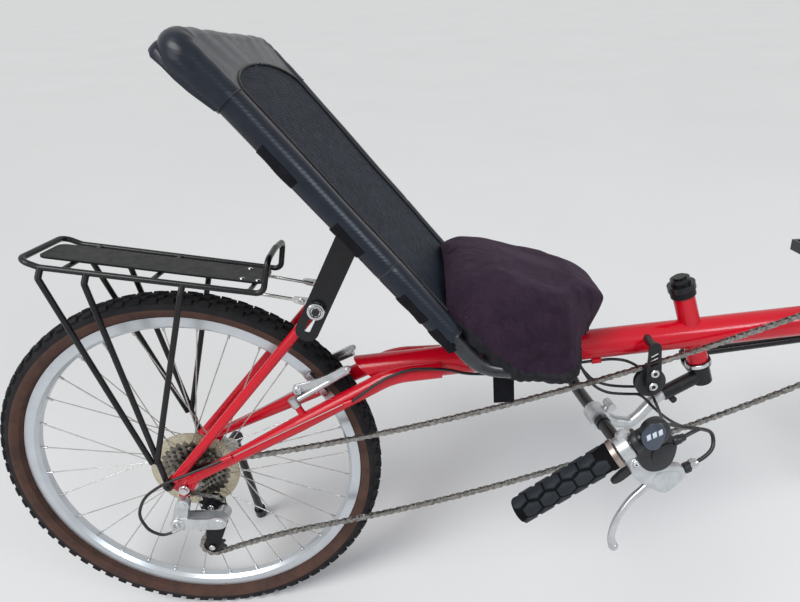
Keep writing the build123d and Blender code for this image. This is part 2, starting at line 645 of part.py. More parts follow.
for k, point in enumerate(pins):
    before, after = pins[k - 1], pins[(k + 1) % len(pins)]
    run = hypot(after[0] - before[0], after[1] - before[1])
    for edge, way in zip(edges, (-1, 1)):
        reach = way * LINK_HALF[k % 2] / run
        edge.append((point[0] - reach * (after[1] - before[1]), point[1] + reach * (after[0] - before[0])))
slant = Vector(CRANK_X, CHAINRING_Y - CHAIN_Y, 0).normalized()
with BuildPart() as chain:
    with BuildSketch(Plane(origin=(0, CHAIN_Y, 0), x_dir=slant, z_dir=(slant.Y, -slant.X, 0))):
        for edge, mode in ((edges[1], Mode.ADD), (edges[0], Mode.SUBTRACT)):
            with BuildLine() as outline:
                Polyline(*edge, close=True)
            make_face(outline.edges(), mode=mode)
    extrude(amount=CHAIN_WIDTH / 2, both=True)
    for centre, y, radius in (((0, 0), CHAIN_Y, COG_RADIUS), (GUIDE, CHAIN_Y, PULLEY_RADIUS),
                              (JOCKEY, CHAIN_Y, PULLEY_RADIUS), (RING, CHAINRING_Y, RING_RADIUS)):
        across(*centre, y - SLOT_WIDTH / 2, y + SLOT_WIDTH / 2, 2 * (radius + 4.8), Mode.SUBTRACT)
finish(chain, "chain")


def turn_plane(place, y):
    """An upright plane beside a steering axis: its own axes run ahead of and along the axis."""
    return Plane(origin=place(0, 0, y), x_dir=AHEAD, z_dir=(0, -1, 0))


def across_turned(place, up, ahead, y_from, y_to, diameter, mode=Mode.ADD):
    rod(place(up, ahead, y_from), place(up, ahead, y_to), diameter, mode)


# Middle steering shaft with its nut, stem tube and the arm for the tie rod
ROD_END_REAR = -66.0             # height of the tie rod's ends along the two steering axes
ROD_END_FRONT = 282.5
EYE_HALF = 6.0
PIN_RADIUS = 4.0
STEM_TUBE = 26.0
STEM_END = (-93.4, -76.0)        # up and ahead of the stem tube's open end
STEM_DEPTH = 20.0                # how far the extension goes into it
EXTENSION = 21.0
stem_end = middle_axis(*STEM_END)
stem_run = (stem_end - middle_axis(-86)).normalized()
with BuildPart() as steering_shaft:
    rod(middle_axis(-90), middle_axis(100), 2 * STEERER_RADIUS)
    rod(middle_axis(-100), middle_axis(MIDDLE_HEAD[0] - CUP_HEIGHT - SEAT_GAP), 34.0)
    rod(middle_axis(MIDDLE_HEAD[1] + CUP_HEIGHT + SEAT_GAP), middle_axis(96), 46.0)
    rod(middle_axis(96), middle_axis(106), 32.0)
    rod(middle_axis(106), middle_axis(109), 22.0)
    rod(middle_axis(-86), stem_end, STEM_TUBE)
    across_turned(middle_axis, -108, -62, -10, 10, 12.0)
    rod(stem_end - stem_run * (STEM_DEPTH + 1), stem_end, EXTENSION + 2 * FIT, Mode.SUBTRACT)
    with BuildSketch(Plane(origin=middle_axis(-84), x_dir=AHEAD, z_dir=STEER)):
        Circle(17)
        with Locations((0, ARM_LENGTH)):
            Circle(10)
        make_hull()
    extrude(amount=9.0)
    rod(middle_axis(-80, 0, ARM_LENGTH), middle_axis(ROD_END_REAR + EYE_HALF + 1, 0, ARM_LENGTH), 2 * PIN_RADIUS)
    rod(middle_axis(ROD_END_REAR + EYE_HALF + 1, 0, ARM_LENGTH),
        middle_axis(ROD_END_REAR + EYE_HALF + 6, 0, ARM_LENGTH), 12.0)
finish(steering_shaft, "steering_shaft", MIDDLE)

# Stem extension with its two clamps
BAR_DIAMETER = 22.2
BAR_CENTRE = (-82.4, -198.3)     # up and ahead of the handlebar's middle
BAR_CLAMP_DIAMETER = 25.4
with BuildPart() as stem_extension:
    bent_rod([stem_end - stem_run * STEM_DEPTH, stem_end + stem_run * 12, middle_axis(-115, -124),
              middle_axis(-124, -147), middle_axis(-109, -171), middle_axis(-84, -194)], EXTENSION,
             [30, 24, 16, 16])
    across_turned(middle_axis, *BAR_CENTRE, -19, 19, 36.0)
    across_turned(middle_axis, -72, -172, -13, 13, 15.0)
    rod(middle_axis(-82, -196), middle_axis(-72, -172), 13.0)
    across_turned(middle_axis, *BAR_CENTRE, -30, 30, BAR_CLAMP_DIAMETER, Mode.SUBTRACT)
finish(stem_extension, "stem_extension", MIDDLE)

# Handlebar
GRIP_START = (80.1, -259.9, 310.6)     # up, ahead, y
GRIP_END = (44.5, -385.5, 295.2)
BAR_KNEE = (-82.4, -198.3, 108.0)
BAR_TOP = (98.5, -194.9, 318.6)
BAR_BENDS = (60.0, 25.0)


def bar_point(point, way):
    return middle_axis(point[0], point[1], way * point[2])


def along_grip(distance, way):
    """A point on the grip's axis, distance mm ahead of the grip's front end."""
    start, end = bar_point(GRIP_START, way), bar_point(GRIP_END, way)
    return start + (start - end).normalized() * distance


half_bar = (GRIP_END, BAR_TOP, BAR_KNEE)
bar_path = [bar_point(q, -1) for q in half_bar] + [bar_point(q, 1) for q in reversed(half_bar)]
with BuildPart() as bar_tube:
    bent_rod(bar_path, BAR_DIAMETER, [BAR_BENDS[1], BAR_BENDS[0], BAR_BENDS[0], BAR_BENDS[1]])
with BuildPart() as handlebar:
    add(bar_tube.part)
    across_turned(middle_axis, *BAR_CENTRE, -32, 32, BAR_CLAMP_DIAMETER)
finish(handlebar, "handlebar", MIDDLE)

# Grips, brake levers and shifters
GRIP_DIAMETER = 35.0
for name, way in (("right", -1), ("left", 1)):
    with BuildPart() as grip:
        rod(along_grip(0, way), along_grip(-135, way), GRIP_DIAMETER)
        rod(along_grip(0, way), along_grip(7, way), GRIP_DIAMETER + 2)
        add(bar_tube.part, mode=Mode.SUBTRACT)
    finish(grip, "grip_" + name, MIDDLE)

    outer = 317.0 if way > 0 else -305.0
    with BuildPart() as lever:
        rod(along_grip(9, way), along_grip(25, way), 32.0)
        with BuildSketch(turn_plane(middle_axis, outer)):
            for spots in (((-236, 84, 11), (-235, 66, 10), (-216, 17, 11)),
                          ((-216, 17, 11), (-180, 26, 7), (-226, 45, 9))):
                with BuildSketch(mode=Mode.PRIVATE) as web:
                    for ahead, up, radius in spots:
                        with Locations((ahead, up)):
                            Circle(radius)
                    make_hull()
                add(web.sketch)
        extrude(amount=12.0)
        rod(middle_axis(26, -180, way * 311), middle_axis(25, -166, way * 311), 10.0)
        with BuildSketch(turn_plane(middle_axis, outer - 1.5)):
            with BuildLine() as blade:
                FilletPolyline((-206, 15), (-240, 15), (-258, 6), (-286, -38), (-297, -57), radius=8)
            trace(blade.line, line_width=11)
        extrude(amount=9.0)
        add(bar_tube.part, mode=Mode.SUBTRACT)
    finish(lever, "brake_lever_" + name, MIDDLE)

    face = 338.0 if way > 0 else -322.0
    with BuildPart() as shifter:
        with BuildSketch(turn_plane(middle_axis, face)):
            for spots in (((-214, 98, 15), (-200, 80, 16)), ((-200, 80, 12), (-193, 62, 9))):
                with BuildSketch(mode=Mode.PRIVATE) as web:
                    for ahead, up, radius in spots:
                        with Locations((ahead, up)):
                            Circle(radius)
                    make_hull()
                add(web.sketch)
        extrude(amount=16.0)
        with BuildSketch(turn_plane(middle_axis, face - 5)):
            with BuildSketch(mode=Mode.PRIVATE) as trigger:
                for ahead, up, radius in ((-222, 76, 7), (-266, 50, 4)):
                    with Locations((ahead, up)):
                        Circle(radius)
                make_hull()
            add(trigger.sketch)
        extrude(amount=7.0)
        add(bar_tube.part, mode=Mode.SUBTRACT)
    finish(shifter, "shifter_" + name, MIDDLE)

# Fork
BLADE = 22.0
FRONT_STUD = (178.0, 26.0)       # up and ahead of the end of the brake's stud
FRONT_DROPOUT_Y = FRONT_SPACING / 2
CROWN_TOP = FRONT_HEAD_LOW - CUP_HEIGHT - SEAT_GAP
with BuildPart() as fork:
    rod(fork_axis(CROWN_TOP - 20), fork_axis(FRONT_HEAD_HIGH + 22), 2 * STEERER_RADIUS)
    rod(fork_axis(CROWN_TOP - 30), fork_axis(CROWN_TOP), 34.0)
    rod(fork_axis(FRONT_HEAD_HIGH + CUP_HEIGHT + SEAT_GAP), fork_axis(FRONT_HEAD_HIGH + 21), 46.0)
    rod(fork_axis(FRONT_HEAD_HIGH + 21), fork_axis(FRONT_HEAD_HIGH + 29), 30.0)
    for way in (-1, 1):
        bent_rod([fork_axis(CROWN_TOP - 21, 0, 0), fork_axis(CROWN_TOP - 29, 0, way * 41),
                  fork_axis(104, 0, way * 47), fork_axis(12, 37, way * 52.5)], BLADE, [15, 150])
        inner = -FRONT_DROPOUT_Y if way < 0 else FRONT_DROPOUT_Y + DROPOUT_THICKNESS
        with BuildSketch(turn_plane(fork_axis, inner)):
            with Locations((FORK_RAKE, 0)):
                Circle(12)
            with Locations((30, 26)):
                Circle(9)
            make_hull()
        extrude(amount=DROPOUT_THICKNESS)
        # Brake stud
        rod(fork_axis(FRONT_STUD[0], 4, way * 44.5), fork_axis(*FRONT_STUD, way * 44.5), 12.0)
    across(WHEELBASE, FRONT_Z, -70, 70, 2 * (AXLE_RADIUS + FIT), Mode.SUBTRACT)
    # Arm for the tie rod
    with BuildSketch(Plane(origin=fork_axis(CROWN_TOP - 17), x_dir=AHEAD, z_dir=STEER)):
        Circle(17)
        with Locations((0, ARM_LENGTH)):
            Circle(10)
        make_hull()
    extrude(amount=ROD_END_FRONT - EYE_HALF - 3 - CROWN_TOP + 17)
    rod(fork_axis(CROWN_TOP - 12, 0, ARM_LENGTH), fork_axis(ROD_END_FRONT + EYE_HALF + 1, 0, ARM_LENGTH), 2 * PIN_RADIUS)
    rod(fork_axis(ROD_END_FRONT + EYE_HALF + 1, 0, ARM_LENGTH),
        fork_axis(ROD_END_FRONT + EYE_HALF + 6, 0, ARM_LENGTH), 12.0)
    # Room for the tyre
    across(WHEELBASE, FRONT_Z, -FRONT_TYRE_WIDTH / 2 - 6, FRONT_TYRE_WIDTH / 2 + 6, 2 * FRONT_TYRE_RADIUS + 14,
           Mode.SUBTRACT)
finish(fork, "fork", FORK_FOOT)

with BuildPart() as front_axle:
    across(WHEELBASE, FRONT_Z, -FRONT_DROPOUT_Y - 12, FRONT_DROPOUT_Y + 12, 2 * AXLE_RADIUS)
    for way in (-1, 1):
        across(WHEELBASE, FRONT_Z, way * (FRONT_HUB_END + 0.5), way * FRONT_DROPOUT_Y, 17.0)
        across(WHEELBASE, FRONT_Z, way * (FRONT_DROPOUT_Y + DROPOUT_THICKNESS),
               way * (FRONT_DROPOUT_Y + DROPOUT_THICKNESS + 8), 17.0)
    rod((WHEELBASE, FRONT_DROPOUT_Y + 16, FRONT_Z), (WHEELBASE - 20, FRONT_DROPOUT_Y + 20, FRONT_Z + 46), 9.0)
    across(WHEELBASE, FRONT_Z, FRONT_DROPOUT_Y + 12, FRONT_DROPOUT_Y + 20, 13.0)
finish(front_axle, "front_axle", FORK_FOOT)

# Tie rod between the two arms
parked = radians(PARKED_STEER)
PIN_SHIFT = AHEAD * (-ARM_LENGTH * sin(parked)) + Vector(0, ARM_LENGTH * cos(parked), 0)
ROD_REAR = middle_axis(ROD_END_REAR) + PIN_SHIFT
ROD_FRONT = fork_axis(ROD_END_FRONT) + PIN_SHIFT
ROD_RUN = (ROD_FRONT - ROD_REAR).normalized()
with BuildPart() as tie_rod:
    rod(ROD_REAR + ROD_RUN * 34, ROD_FRONT - ROD_RUN * 34, 16.0)
    rod(ROD_REAR + ROD_RUN * 6, ROD_FRONT - ROD_RUN * 6, 9.0)
    for eye in (ROD_REAR, ROD_FRONT):
        rod(eye - STEER * EYE_HALF, eye + STEER * EYE_HALF, 20.0)
    for eye, bore in ((ROD_REAR, PIN_RADIUS + FIT), (ROD_FRONT, PIN_RADIUS + 1.0)):
        rod(eye - STEER * 20, eye + STEER * 20, 2 * bore, Mode.SUBTRACT)
    for start, way in ((ROD_REAR, 1), (ROD_FRONT, -1)):
        rod(start + ROD_RUN * way * 27, start + ROD_RUN * way * 34, 15.0)
finish(tie_rod, "tie_rod")

# Seat frame: two side tubes, the top bar, the base loop on the main tube and a cross tube
SEAT_CORNER = 45.0
SEAT_CROSS = (345.0, 449.0)      # x, z of the cross tube held by the struts
FRAME_REST = beam(SEAT_FRONT[0])[2] + (TUBE_DIAMETER + SEAT_TUBE) / 2 + SEAT_GAP
half_seat = [(SEAT_TOP[0], 0, SEAT_TOP[1]), (SEAT_TOP[0], SEAT_HALF_WIDTH, SEAT_TOP[1]),
             (SEAT_BEND[0], SEAT_HALF_WIDTH, SEAT_BEND[1]), (600, 165, FRAME_REST),
             (690, 92, FRAME_REST), (690, 0, FRAME_REST)]
SEAT_BENDS = [SEAT_CORNER, 60, 60, 40]


def seat_loop(diameter, mode=Mode.ADD):
    for way in (-1, 1):
        bent_rod([side(q, way) for q in half_seat], diameter, SEAT_BENDS, mode)


with BuildPart() as seat_frame:
    seat_loop(SEAT_TUBE)
    across(*SEAT_CROSS, -SEAT_HALF_WIDTH, SEAT_HALF_WIDTH, SEAT_TUBE)
finish(seat_frame, "seat_frame")

# Seat back: a stretched cloth with a sleeve round each tube
SLEEVE = 31.0
SIDE_RUN = Vector(SEAT_BEND[0] - SEAT_TOP[0], 0, SEAT_BEND[1] - SEAT_TOP[1])
SIDE_DIRECTION = SIDE_RUN.normalized()
FACE_DIRECTION = Vector(-SIDE_DIRECTION.Z, 0, SIDE_DIRECTION.X)
TOP_POINT = Vector(SEAT_TOP[0], 0, SEAT_TOP[1])
SLEEVE_END = SIDE_RUN.length - 64
CLOTH = 3.0
with BuildPart() as seat_back:
    for way in (-1, 1):
        beside = Vector(0, way * SEAT_HALF_WIDTH, 0)
        rod(TOP_POINT + beside + SIDE_DIRECTION * (SEAT_CORNER + 4),
            TOP_POINT + beside + SIDE_DIRECTION * SLEEVE_END, SLEEVE)
    across(*SEAT_TOP, -SEAT_HALF_WIDTH + SEAT_CORNER + 4, SEAT_HALF_WIDTH - SEAT_CORNER - 4, SLEEVE)
    cloth_plane = Plane(origin=TOP_POINT + FACE_DIRECTION * (SLEEVE / 2 - CLOTH), x_dir=(0, 1, 0),
                        z_dir=FACE_DIRECTION)
    with BuildSketch(cloth_plane):
        with Locations((0, -SLEEVE_END / 2)):
            Rectangle(2 * SEAT_HALF_WIDTH + 8, SLEEVE_END)
        fillet([v for v in vertices() if v.Y > -10], SEAT_CORNER)
    extrude(amount=CLOTH)
    seat_loop(SEAT_TUBE + 2 * SEAT_GAP, Mode.SUBTRACT)
    across(*SEAT_CROSS, -SEAT_HALF_WIDTH, SEAT_HALF_WIDTH, SEAT_TUBE + 2 * SEAT_GAP, Mode.SUBTRACT)
finish(seat_back, "seat_back")

# Seat cushion on the base loop
CUSHION_SIDE = [                 # x, z of its outline from the rider's right
    (447, 345.5), (462, 353), (490, 360), (522, 362), (556, 356), (591, 345), (632, 324), (664, 310),
    (692, 302), (714, 287), (732, 262), (736, 246), (722, 233), (690, 226), (650, 214), (600, 209),
    (545, 222), (520, 250), (484, 298), (472, 312.5)]
CUSHION_PLAN = [                 # x and half width of its outline from above
    (440, 160), (480, 190), (540, 192), (590, 170), (630, 135), (655, 105), (690, 75), (720, 55), (740, 30)]
with BuildPart() as seat_cushion:
    with BuildSketch(side_plane(220)):
        Polygon(*CUSHION_SIDE, align=None)
    extrude(amount=440)
    with BuildSketch(Plane.XY.offset(150)) as plan:
        Polygon(*CUSHION_PLAN, *[(x, -y) for x, y in reversed(CUSHION_PLAN)], align=None)
    extrude(amount=250, mode=Mode.INTERSECT)
    seat_loop(SEAT_TUBE + 2 * SEAT_GAP, Mode.SUBTRACT)
    rod(beam(400), beam(800), TUBE_DIAMETER + 2 * SEAT_GAP, Mode.SUBTRACT)
    across(SEAT_FRONT[0] - 10, FRAME_REST, -30, 30, 60, Mode.SUBTRACT)
finish(seat_cushion, "seat_cushion")

# Struts from the seat stays to the cross tube, with a bolt through both and a brace between
STRUT_Y = STAY_BOSS_OUTER + SEAT_GAP
STRUT_THICKNESS = 4.5
STRUT_FOOT = (243.0, 271.0)
STRUT_BRACE = (293.0, 359.0)
for name, way in (("right", -1), ("left", 1)):
    with BuildPart() as strut:
        with BuildSketch(side_plane(-STRUT_Y if way < 0 else STRUT_Y + STRUT_THICKNESS)):
            with Locations(STRUT_FOOT, SEAT_CROSS):
                Circle(18)
            make_hull()
            with BuildSketch(mode=Mode.PRIVATE) as slot:
                with Locations(STRUT_FOOT, (SEAT_STAY_TOP[0] + 2, SEAT_STAY_TOP[2] + 3)):
                    Circle(4.3)
                make_hull()
            add(slot.sketch, mode=Mode.SUBTRACT)
        extrude(amount=STRUT_THICKNESS)
        across(*SEAT_CROSS, way * STRUT_Y, way * (STRUT_Y + 14), 30.0)
        across(*SEAT_CROSS, way * 50, way * 90, SEAT_TUBE, Mode.SUBTRACT)
        split(bisect_by=Plane(origin=TOP_POINT + FACE_DIRECTION * (SLEEVE / 2 - CLOTH - SEAT_GAP),
                              z_dir=FACE_DIRECTION), keep=Keep.BOTTOM)
    finish(strut, "seat_strut_" + name)

with BuildPart() as seat_brace:
    across(*STRUT_BRACE, -STRUT_Y, STRUT_Y, 16.0)
finish(seat_brace, "seat_brace")

BOLT_AT = (SEAT_STAY_TOP[0], SEAT_STAY_TOP[2])
STRUT_OUTER = STRUT_Y + STRUT_THICKNESS
with BuildPart() as seat_bolts:
    for way in (-1, 1):
        across(*BOLT_AT, way * 32, way * (STRUT_OUTER + 9), 8.0)
        across(*BOLT_AT, way * STRUT_OUTER, way * (STRUT_OUTER + 2), 26.0)
        across(*BOLT_AT, way * (STRUT_OUTER + 2), way * (STRUT_OUTER + 8), 14.0)
        across(*BOLT_AT, way * 32, way * 38.2, 14.0)
finish(seat_bolts, "seat_bolts")

# Strap hanging from the seat's base
with BuildPart() as seat_strap:
    with BuildSketch(side_plane(-58)):
        with Locations((542, 143)):
            Rectangle(34, 50)
        with Locations((542, 186.6)):
            Rectangle(34, 63.4)
    extrude(amount=2.5)
finish(seat_strap, "seat_strap")

# Rear rack
RACK_WIRE = 9.0
RACK_HALF = 60.0
RACK_SLOPE = 0.196
DECK_MIDDLE = 22.0


def rack_height(x):
    """z of the middle of the rack's rails."""
    return 366.0 - RACK_SLOPE * (x - 10)


with BuildPart() as rack_frame:
    for way in (-1, 1):
        rail = [(-145, way * 20, rack_height(-145) + 8), (-145, way * RACK_HALF, rack_height(-145) + 8),
                (-120, way * RACK_HALF, rack_height(-120)), (186, way * RACK_HALF, rack_height(186)),
                (199, way * (RACK_HALF - 8), 380), (199, 0, 384)]
        bent_rod(rail, RACK_WIRE, [14, 30, 12, 16])
        for top, foot in ((-118, (-37, 58)), (-57, EYELET), (73, (-30, 58))):
            rail_z = rack_height(top)
            bent_rod([(top, way * RACK_HALF, rail_z), (top - 4, way * 67, rail_z - 14),
                      (foot[0], way * 80, foot[1])], RACK_WIRE, 8)
    rod((-145, -22, rack_height(-145) + 8), (-145, 22, rack_height(-145) + 8), RACK_WIRE)
    for x in (-90, 30, 165):
        rod((x, -RACK_HALF, rack_height(x)), (x, RACK_HALF, rack_height(x)), 7.0)
    for way in (-1, 1):
        inner = way * (DROPOUT_OUTER + SEAT_GAP)
        across(*EYELET, inner, inner + way * 10, 15.0)
        across(*EYELET, inner - way * 8, inner + way * 14, 5.0)
finish(rack_frame, "rack_frame")

with BuildPart() as rack_deck:
    with BuildSketch(Plane(origin=(DECK_MIDDLE, 0, rack_height(DECK_MIDDLE) + 3.6 + SEAT_GAP),
                           x_dir=(1, 0, -RACK_SLOPE), z_dir=(RACK_SLOPE, 0, 1))):
        RectangleRounded(322, 66, 12)
    extrude(amount=3.0)
finish(rack_deck, "rack_deck")

# Flat stays from the rack to the seat bolts
with BuildPart() as rack_stays:
    for way in (-1, 1):
        with BuildSketch(side_plane(way * 40 + 1.5)):
            with Locations((168, rack_height(168) - 12), BOLT_AT):
                Circle(8)
            make_hull()
            with Locations(BOLT_AT):
                Circle(4.1, mode=Mode.SUBTRACT)
        extrude(amount=3.0)
        rod((165, way * 40, rack_height(165) - 4), (165, way * 40, rack_height(165) - 14), 8.0)
finish(rack_stays, "rack_stays")

# Brakes: an arm with its pad at each side of each rim
PAD_GAP = 2.5
PAD_SIZE = (48.0, 10.0, 9.5)     # along the rim, across its wall, thickness


def brake_arm(post, direction, top, pad, tangent, way):
    """One arm on its stud, from the stud's end to the cable end, with the pad by the rim's wall."""
    post, direction, top = Vector(*post), Vector(*direction).normalized(), Vector(*top)
    root = post + direction * 9 - Vector(0, way * 3, 0)
    pad_inner = way * (RIM_HALF_WIDTH + PAD_GAP)
    with BuildPart() as piece:
        rod(post + direction * SEAT_GAP, post + direction * 17, 15.0)
        rod(root, top, 10.0)
        across(pad[0], pad[1], pad_inner + way * 6, way * abs(root.Y + (top.Y - root.Y) * 0.35), 8.0)
        with BuildSketch(Plane(origin=(pad[0], pad_inner, pad[1]), x_dir=tangent, z_dir=(0, way, 0))):
            RectangleRounded(PAD_SIZE[0], PAD_SIZE[1], 3)
        extrude(amount=PAD_SIZE[2])
    return piece


def rim_tangent(centre, pad):
    """Direction along the rim at a pad."""
    return Vector(-(pad[1] - centre[1]), 0, pad[0] - centre[0]).normalized()


BOSS = Vector(*STAY_TIP) + (Vector(*STAY_BEND) - Vector(*STAY_TIP)) * 0.585
REAR_POST = BOSS + Vector(-12, 0, 26)
REAR_PAD = on_circle((0, 0), REAR_BEAD_RADIUS - 0.5, 33.0)
for name, way in (("right", -1), ("left", 1)):
    piece = brake_arm(side((REAR_POST.X, REAR_POST.Y, REAR_POST.Z), way), (-7, 0, 16),
                      (291, way * 34, 181), REAR_PAD, rim_tangent((0, 0), REAR_PAD), way)
    finish(piece, "rear_brake_" + name)
FRONT_PAD_POINT = fork_axis(202.2, 34.0)
FRONT_PAD = (FRONT_PAD_POINT.X, FRONT_PAD_POINT.Z)
for name, way in (("right", -1), ("left", 1)):
    post = fork_axis(*FRONT_STUD, way * 44.5)
    piece = brake_arm(tuple(post), tuple(AHEAD), tuple(fork_axis(272, 34, way * 33)), FRONT_PAD,
                      rim_tangent((WHEELBASE, FRONT_Z), FRONT_PAD), way)
    finish(piece, "front_brake_" + name, FORK_FOOT)

# Side stand on the left end of the rear axle
STAND_PIVOT = Vector(30, 96, -20)
STAND_FOOT = Vector(5, 205, -297)
STAND_AXIS = Vector(0.147, 0.987, 0.059).normalized()
lean = radians(LEAN)
GROUND = (REAR_TYRE_RADIUS - REAR_TYRE_WIDTH / 2) * cos(lean) + REAR_TYRE_WIDTH / 2
BARREL_HALF = 11.0
with BuildPart() as stand_bracket:
    root = STAND_PIVOT - STAND_AXIS * 22
    with BuildSketch(side_plane(DROPOUT_OUTER + BRACKET_PLATE)):
        Circle(13)
        with Locations((root.X, root.Z)):
            Circle(13)
        make_hull()
        Circle(AXLE_RADIUS + FIT, mode=Mode.SUBTRACT)
    extrude(amount=BRACKET_PLATE)
    add(upright("chainstay_left"), mode=Mode.SUBTRACT)
    rod(root, STAND_PIVOT - STAND_AXIS * (BARREL_HALF + SEAT_GAP), 24.0)
    rod(root, STAND_PIVOT + STAND_AXIS * (BARREL_HALF + 1), 10.0)
    rod(STAND_PIVOT + STAND_AXIS * (BARREL_HALF + SEAT_GAP), STAND_PIVOT + STAND_AXIS * (BARREL_HALF + 6), 16.0)
finish(stand_bracket, "stand_bracket")

with BuildPart() as side_stand:
    run = (STAND_FOOT - STAND_PIVOT).normalized()
    rod(STAND_PIVOT - STAND_AXIS * BARREL_HALF, STAND_PIVOT + STAND_AXIS * BARREL_HALF, 24.0)
    rod(STAND_PIVOT, STAND_FOOT + run * 20, 16.0)
    rod(STAND_FOOT - run * 26, STAND_FOOT + run * 20, 24.0)
    split(bisect_by=Plane(origin=(0, GROUND * sin(lean), -GROUND * cos(lean)), x_dir=(1, 0, 0),
                          z_dir=(0, -sin(lean), cos(lean))), keep=Keep.TOP)
    rod(STAND_PIVOT - STAND_AXIS * 30, STAND_PIVOT + STAND_AXIS * 30, 10.0 + 2 * FIT, Mode.SUBTRACT)
finish(side_stand, "side_stand")

# Cables: the rear gear's from the derailleur to the steering, and two that come from under the seat
GEAR_LOOP = [(72, -75, 51), (19, -86, 37), (-25, -91, 24), (-62, -91, 0), (-81, -90, -38), (-74, -86, -74),
             (-57, -81.5, -91), (BARREL_END[0] - 1.2, BARREL_END[1], BARREL_END[2] - 0.7)]
GEAR_FRONT = [(296.4, -65, 142.2), (345, -59, 173.5), (390, -52, 187), (448, -51, 182), (483, -33, 161),
              (516, -31, 157), (560, -29, 155), (620, -22, 152), (656, -13.5, 156), (684, -12, 157.9),
              (733, -12, 160.6), (756, -16, 158.5), (776, -22, 149), (792, -25.5, 130), (800, -26, 104)]
UNDER_SEAT = (                   # one route a cable
    [(664.2, SEAT_STOPS[0], 155.9), (678, -2, 154.4), (690, -6, 130), (706, -12, 108), (728, -17, 97),
     (756, -19.5, 94), (784, -20, 92)],
    [(664.2, SEAT_STOPS[1], 155.9), (677, 8.5, 154.6), (688, 5, 134), (706, 0, 114), (730, -4, 105),
     (756, -7, 102), (786, -8, 100)],
)
for name, routes, diameter in (
        ("gear_housing_rear", [GEAR_LOOP], HOUSING),
        ("gear_wire", [[STAY_STOP[1] + Vector(0.3, 0, 0.1), (184, -69, 96.5), HIGH_STOP[0] - Vector(0.3, 0, 0.1)]], WIRE),
        ("gear_housing_front", [GEAR_FRONT], HOUSING),
        ("under_seat_cables", UNDER_SEAT, HOUSING)):
    with BuildPart() as cables:
        for route in routes:
            cable(route, diameter)
    finish(cables, name)

# Cables on the steering, from the gap before the frame's cables to the right shifter and brake lever
BAR_CABLES = (                   # one route a cable: up, ahead and y beside the steering axis
    [(-76.4, -102.1, -14.7), (-87, -101, -32), (-70, -119.6, -96), (-7.2, -149.4, -183), (40, -155, -262),
     (62, -158, -316), (66, -182.4, -328.5)],
    [(-80.5, -112.7, -4), (-95, -106, -22), (-85, -106, -84), (-34, -118, -180), (20, -122, -262),
     (40, -130, -300), (26, -142, -312), (25, -164.8, -311)],
)
with BuildPart() as bar_cables:
    for route in BAR_CABLES:
        cable([middle_axis(*point) for point in route], HOUSING)
finish(bar_cables, "bar_cables", MIDDLE)

# Every piece is moved so that the origin is the middle of the whole object's base, then written
boxes = [part.bounding_box() for part in FINISHED.values()]
origin = ((min(b.min.X for b in boxes) + max(b.max.X for b in boxes)) / 2,
          (min(b.min.Y for b in boxes) + max(b.max.Y for b in boxes)) / 2, min(b.min.Z for b in boxes))
print("origin:", [round(v, 4) for v in origin])
os.makedirs("parts", exist_ok=True)
for name, part in FINISHED.items():
    placed = part.moved(Location((-origin[0], -origin[1], -origin[2])))
    placed.label = name
    export_step(placed, f"parts/{name}.step")
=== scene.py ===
import bpy
from math import acos, atan2, cos, degrees, hypot, pi, radians, sin, tan
from mathutils import Matrix, Vector


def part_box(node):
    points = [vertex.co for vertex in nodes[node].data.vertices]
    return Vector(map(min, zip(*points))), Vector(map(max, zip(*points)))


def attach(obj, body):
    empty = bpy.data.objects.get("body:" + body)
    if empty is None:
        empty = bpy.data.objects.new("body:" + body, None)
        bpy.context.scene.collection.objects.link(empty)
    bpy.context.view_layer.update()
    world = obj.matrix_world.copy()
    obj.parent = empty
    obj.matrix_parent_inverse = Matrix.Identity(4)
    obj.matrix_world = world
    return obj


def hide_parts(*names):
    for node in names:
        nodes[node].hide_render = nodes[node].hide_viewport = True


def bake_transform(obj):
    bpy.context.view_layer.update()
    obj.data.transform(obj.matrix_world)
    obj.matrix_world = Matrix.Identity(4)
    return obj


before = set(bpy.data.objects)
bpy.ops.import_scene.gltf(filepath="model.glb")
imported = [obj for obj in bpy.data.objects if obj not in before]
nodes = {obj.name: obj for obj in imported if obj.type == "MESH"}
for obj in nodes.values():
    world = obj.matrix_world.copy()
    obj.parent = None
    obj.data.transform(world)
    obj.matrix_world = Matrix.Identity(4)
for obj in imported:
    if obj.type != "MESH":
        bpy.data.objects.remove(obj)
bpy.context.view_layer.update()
scene = bpy.context.scene

# The bicycle is modelled upright in millimetres from the centre of its rear axle: x runs
# forward, y to the rider's left, z up. settle() leans each piece over and puts it in place.
LEAN = 7.0
PARKED_STEER = 7.0
HEAD_TILT = 17.5
TUBE_HEIGHT = 147.5
TUBE_RISE = 3.1
WHEELBASE = 1650.0
REAR_TYRE_RADIUS = 322.0
FRONT_TYRE_RADIUS = 247.0
FRONT_Z = FRONT_TYRE_RADIUS - REAR_TYRE_RADIUS
FORK_RAKE = 45.0
RIGHT, LEFT = -1, 1
SIDES = ((RIGHT, "right"), (LEFT, "left"))
ACROSS = Vector((0, 1, 0))
STEER = Vector((-sin(radians(HEAD_TILT)), 0, cos(radians(HEAD_TILT))))
AHEAD = Vector((cos(radians(HEAD_TILT)), 0, sin(radians(HEAD_TILT))))


def beam(x, up=0.0, y=0.0):
    """A point beside the main tube's axis, up mm square to it."""
    rise = radians(TUBE_RISE)
    return Vector((x - up * sin(rise), y, TUBE_HEIGHT + x * tan(rise) + up * cos(rise)))


MIDDLE = beam(873.0)
FORK_FOOT = Vector((WHEELBASE, 0, FRONT_Z)) - AHEAD * FORK_RAKE


def middle_axis(up, ahead=0.0, y=0.0):
    """A point beside the bars' steering axis, up along it and ahead square to it."""
    return MIDDLE + STEER * up + AHEAD * ahead + Vector((0, y, 0))


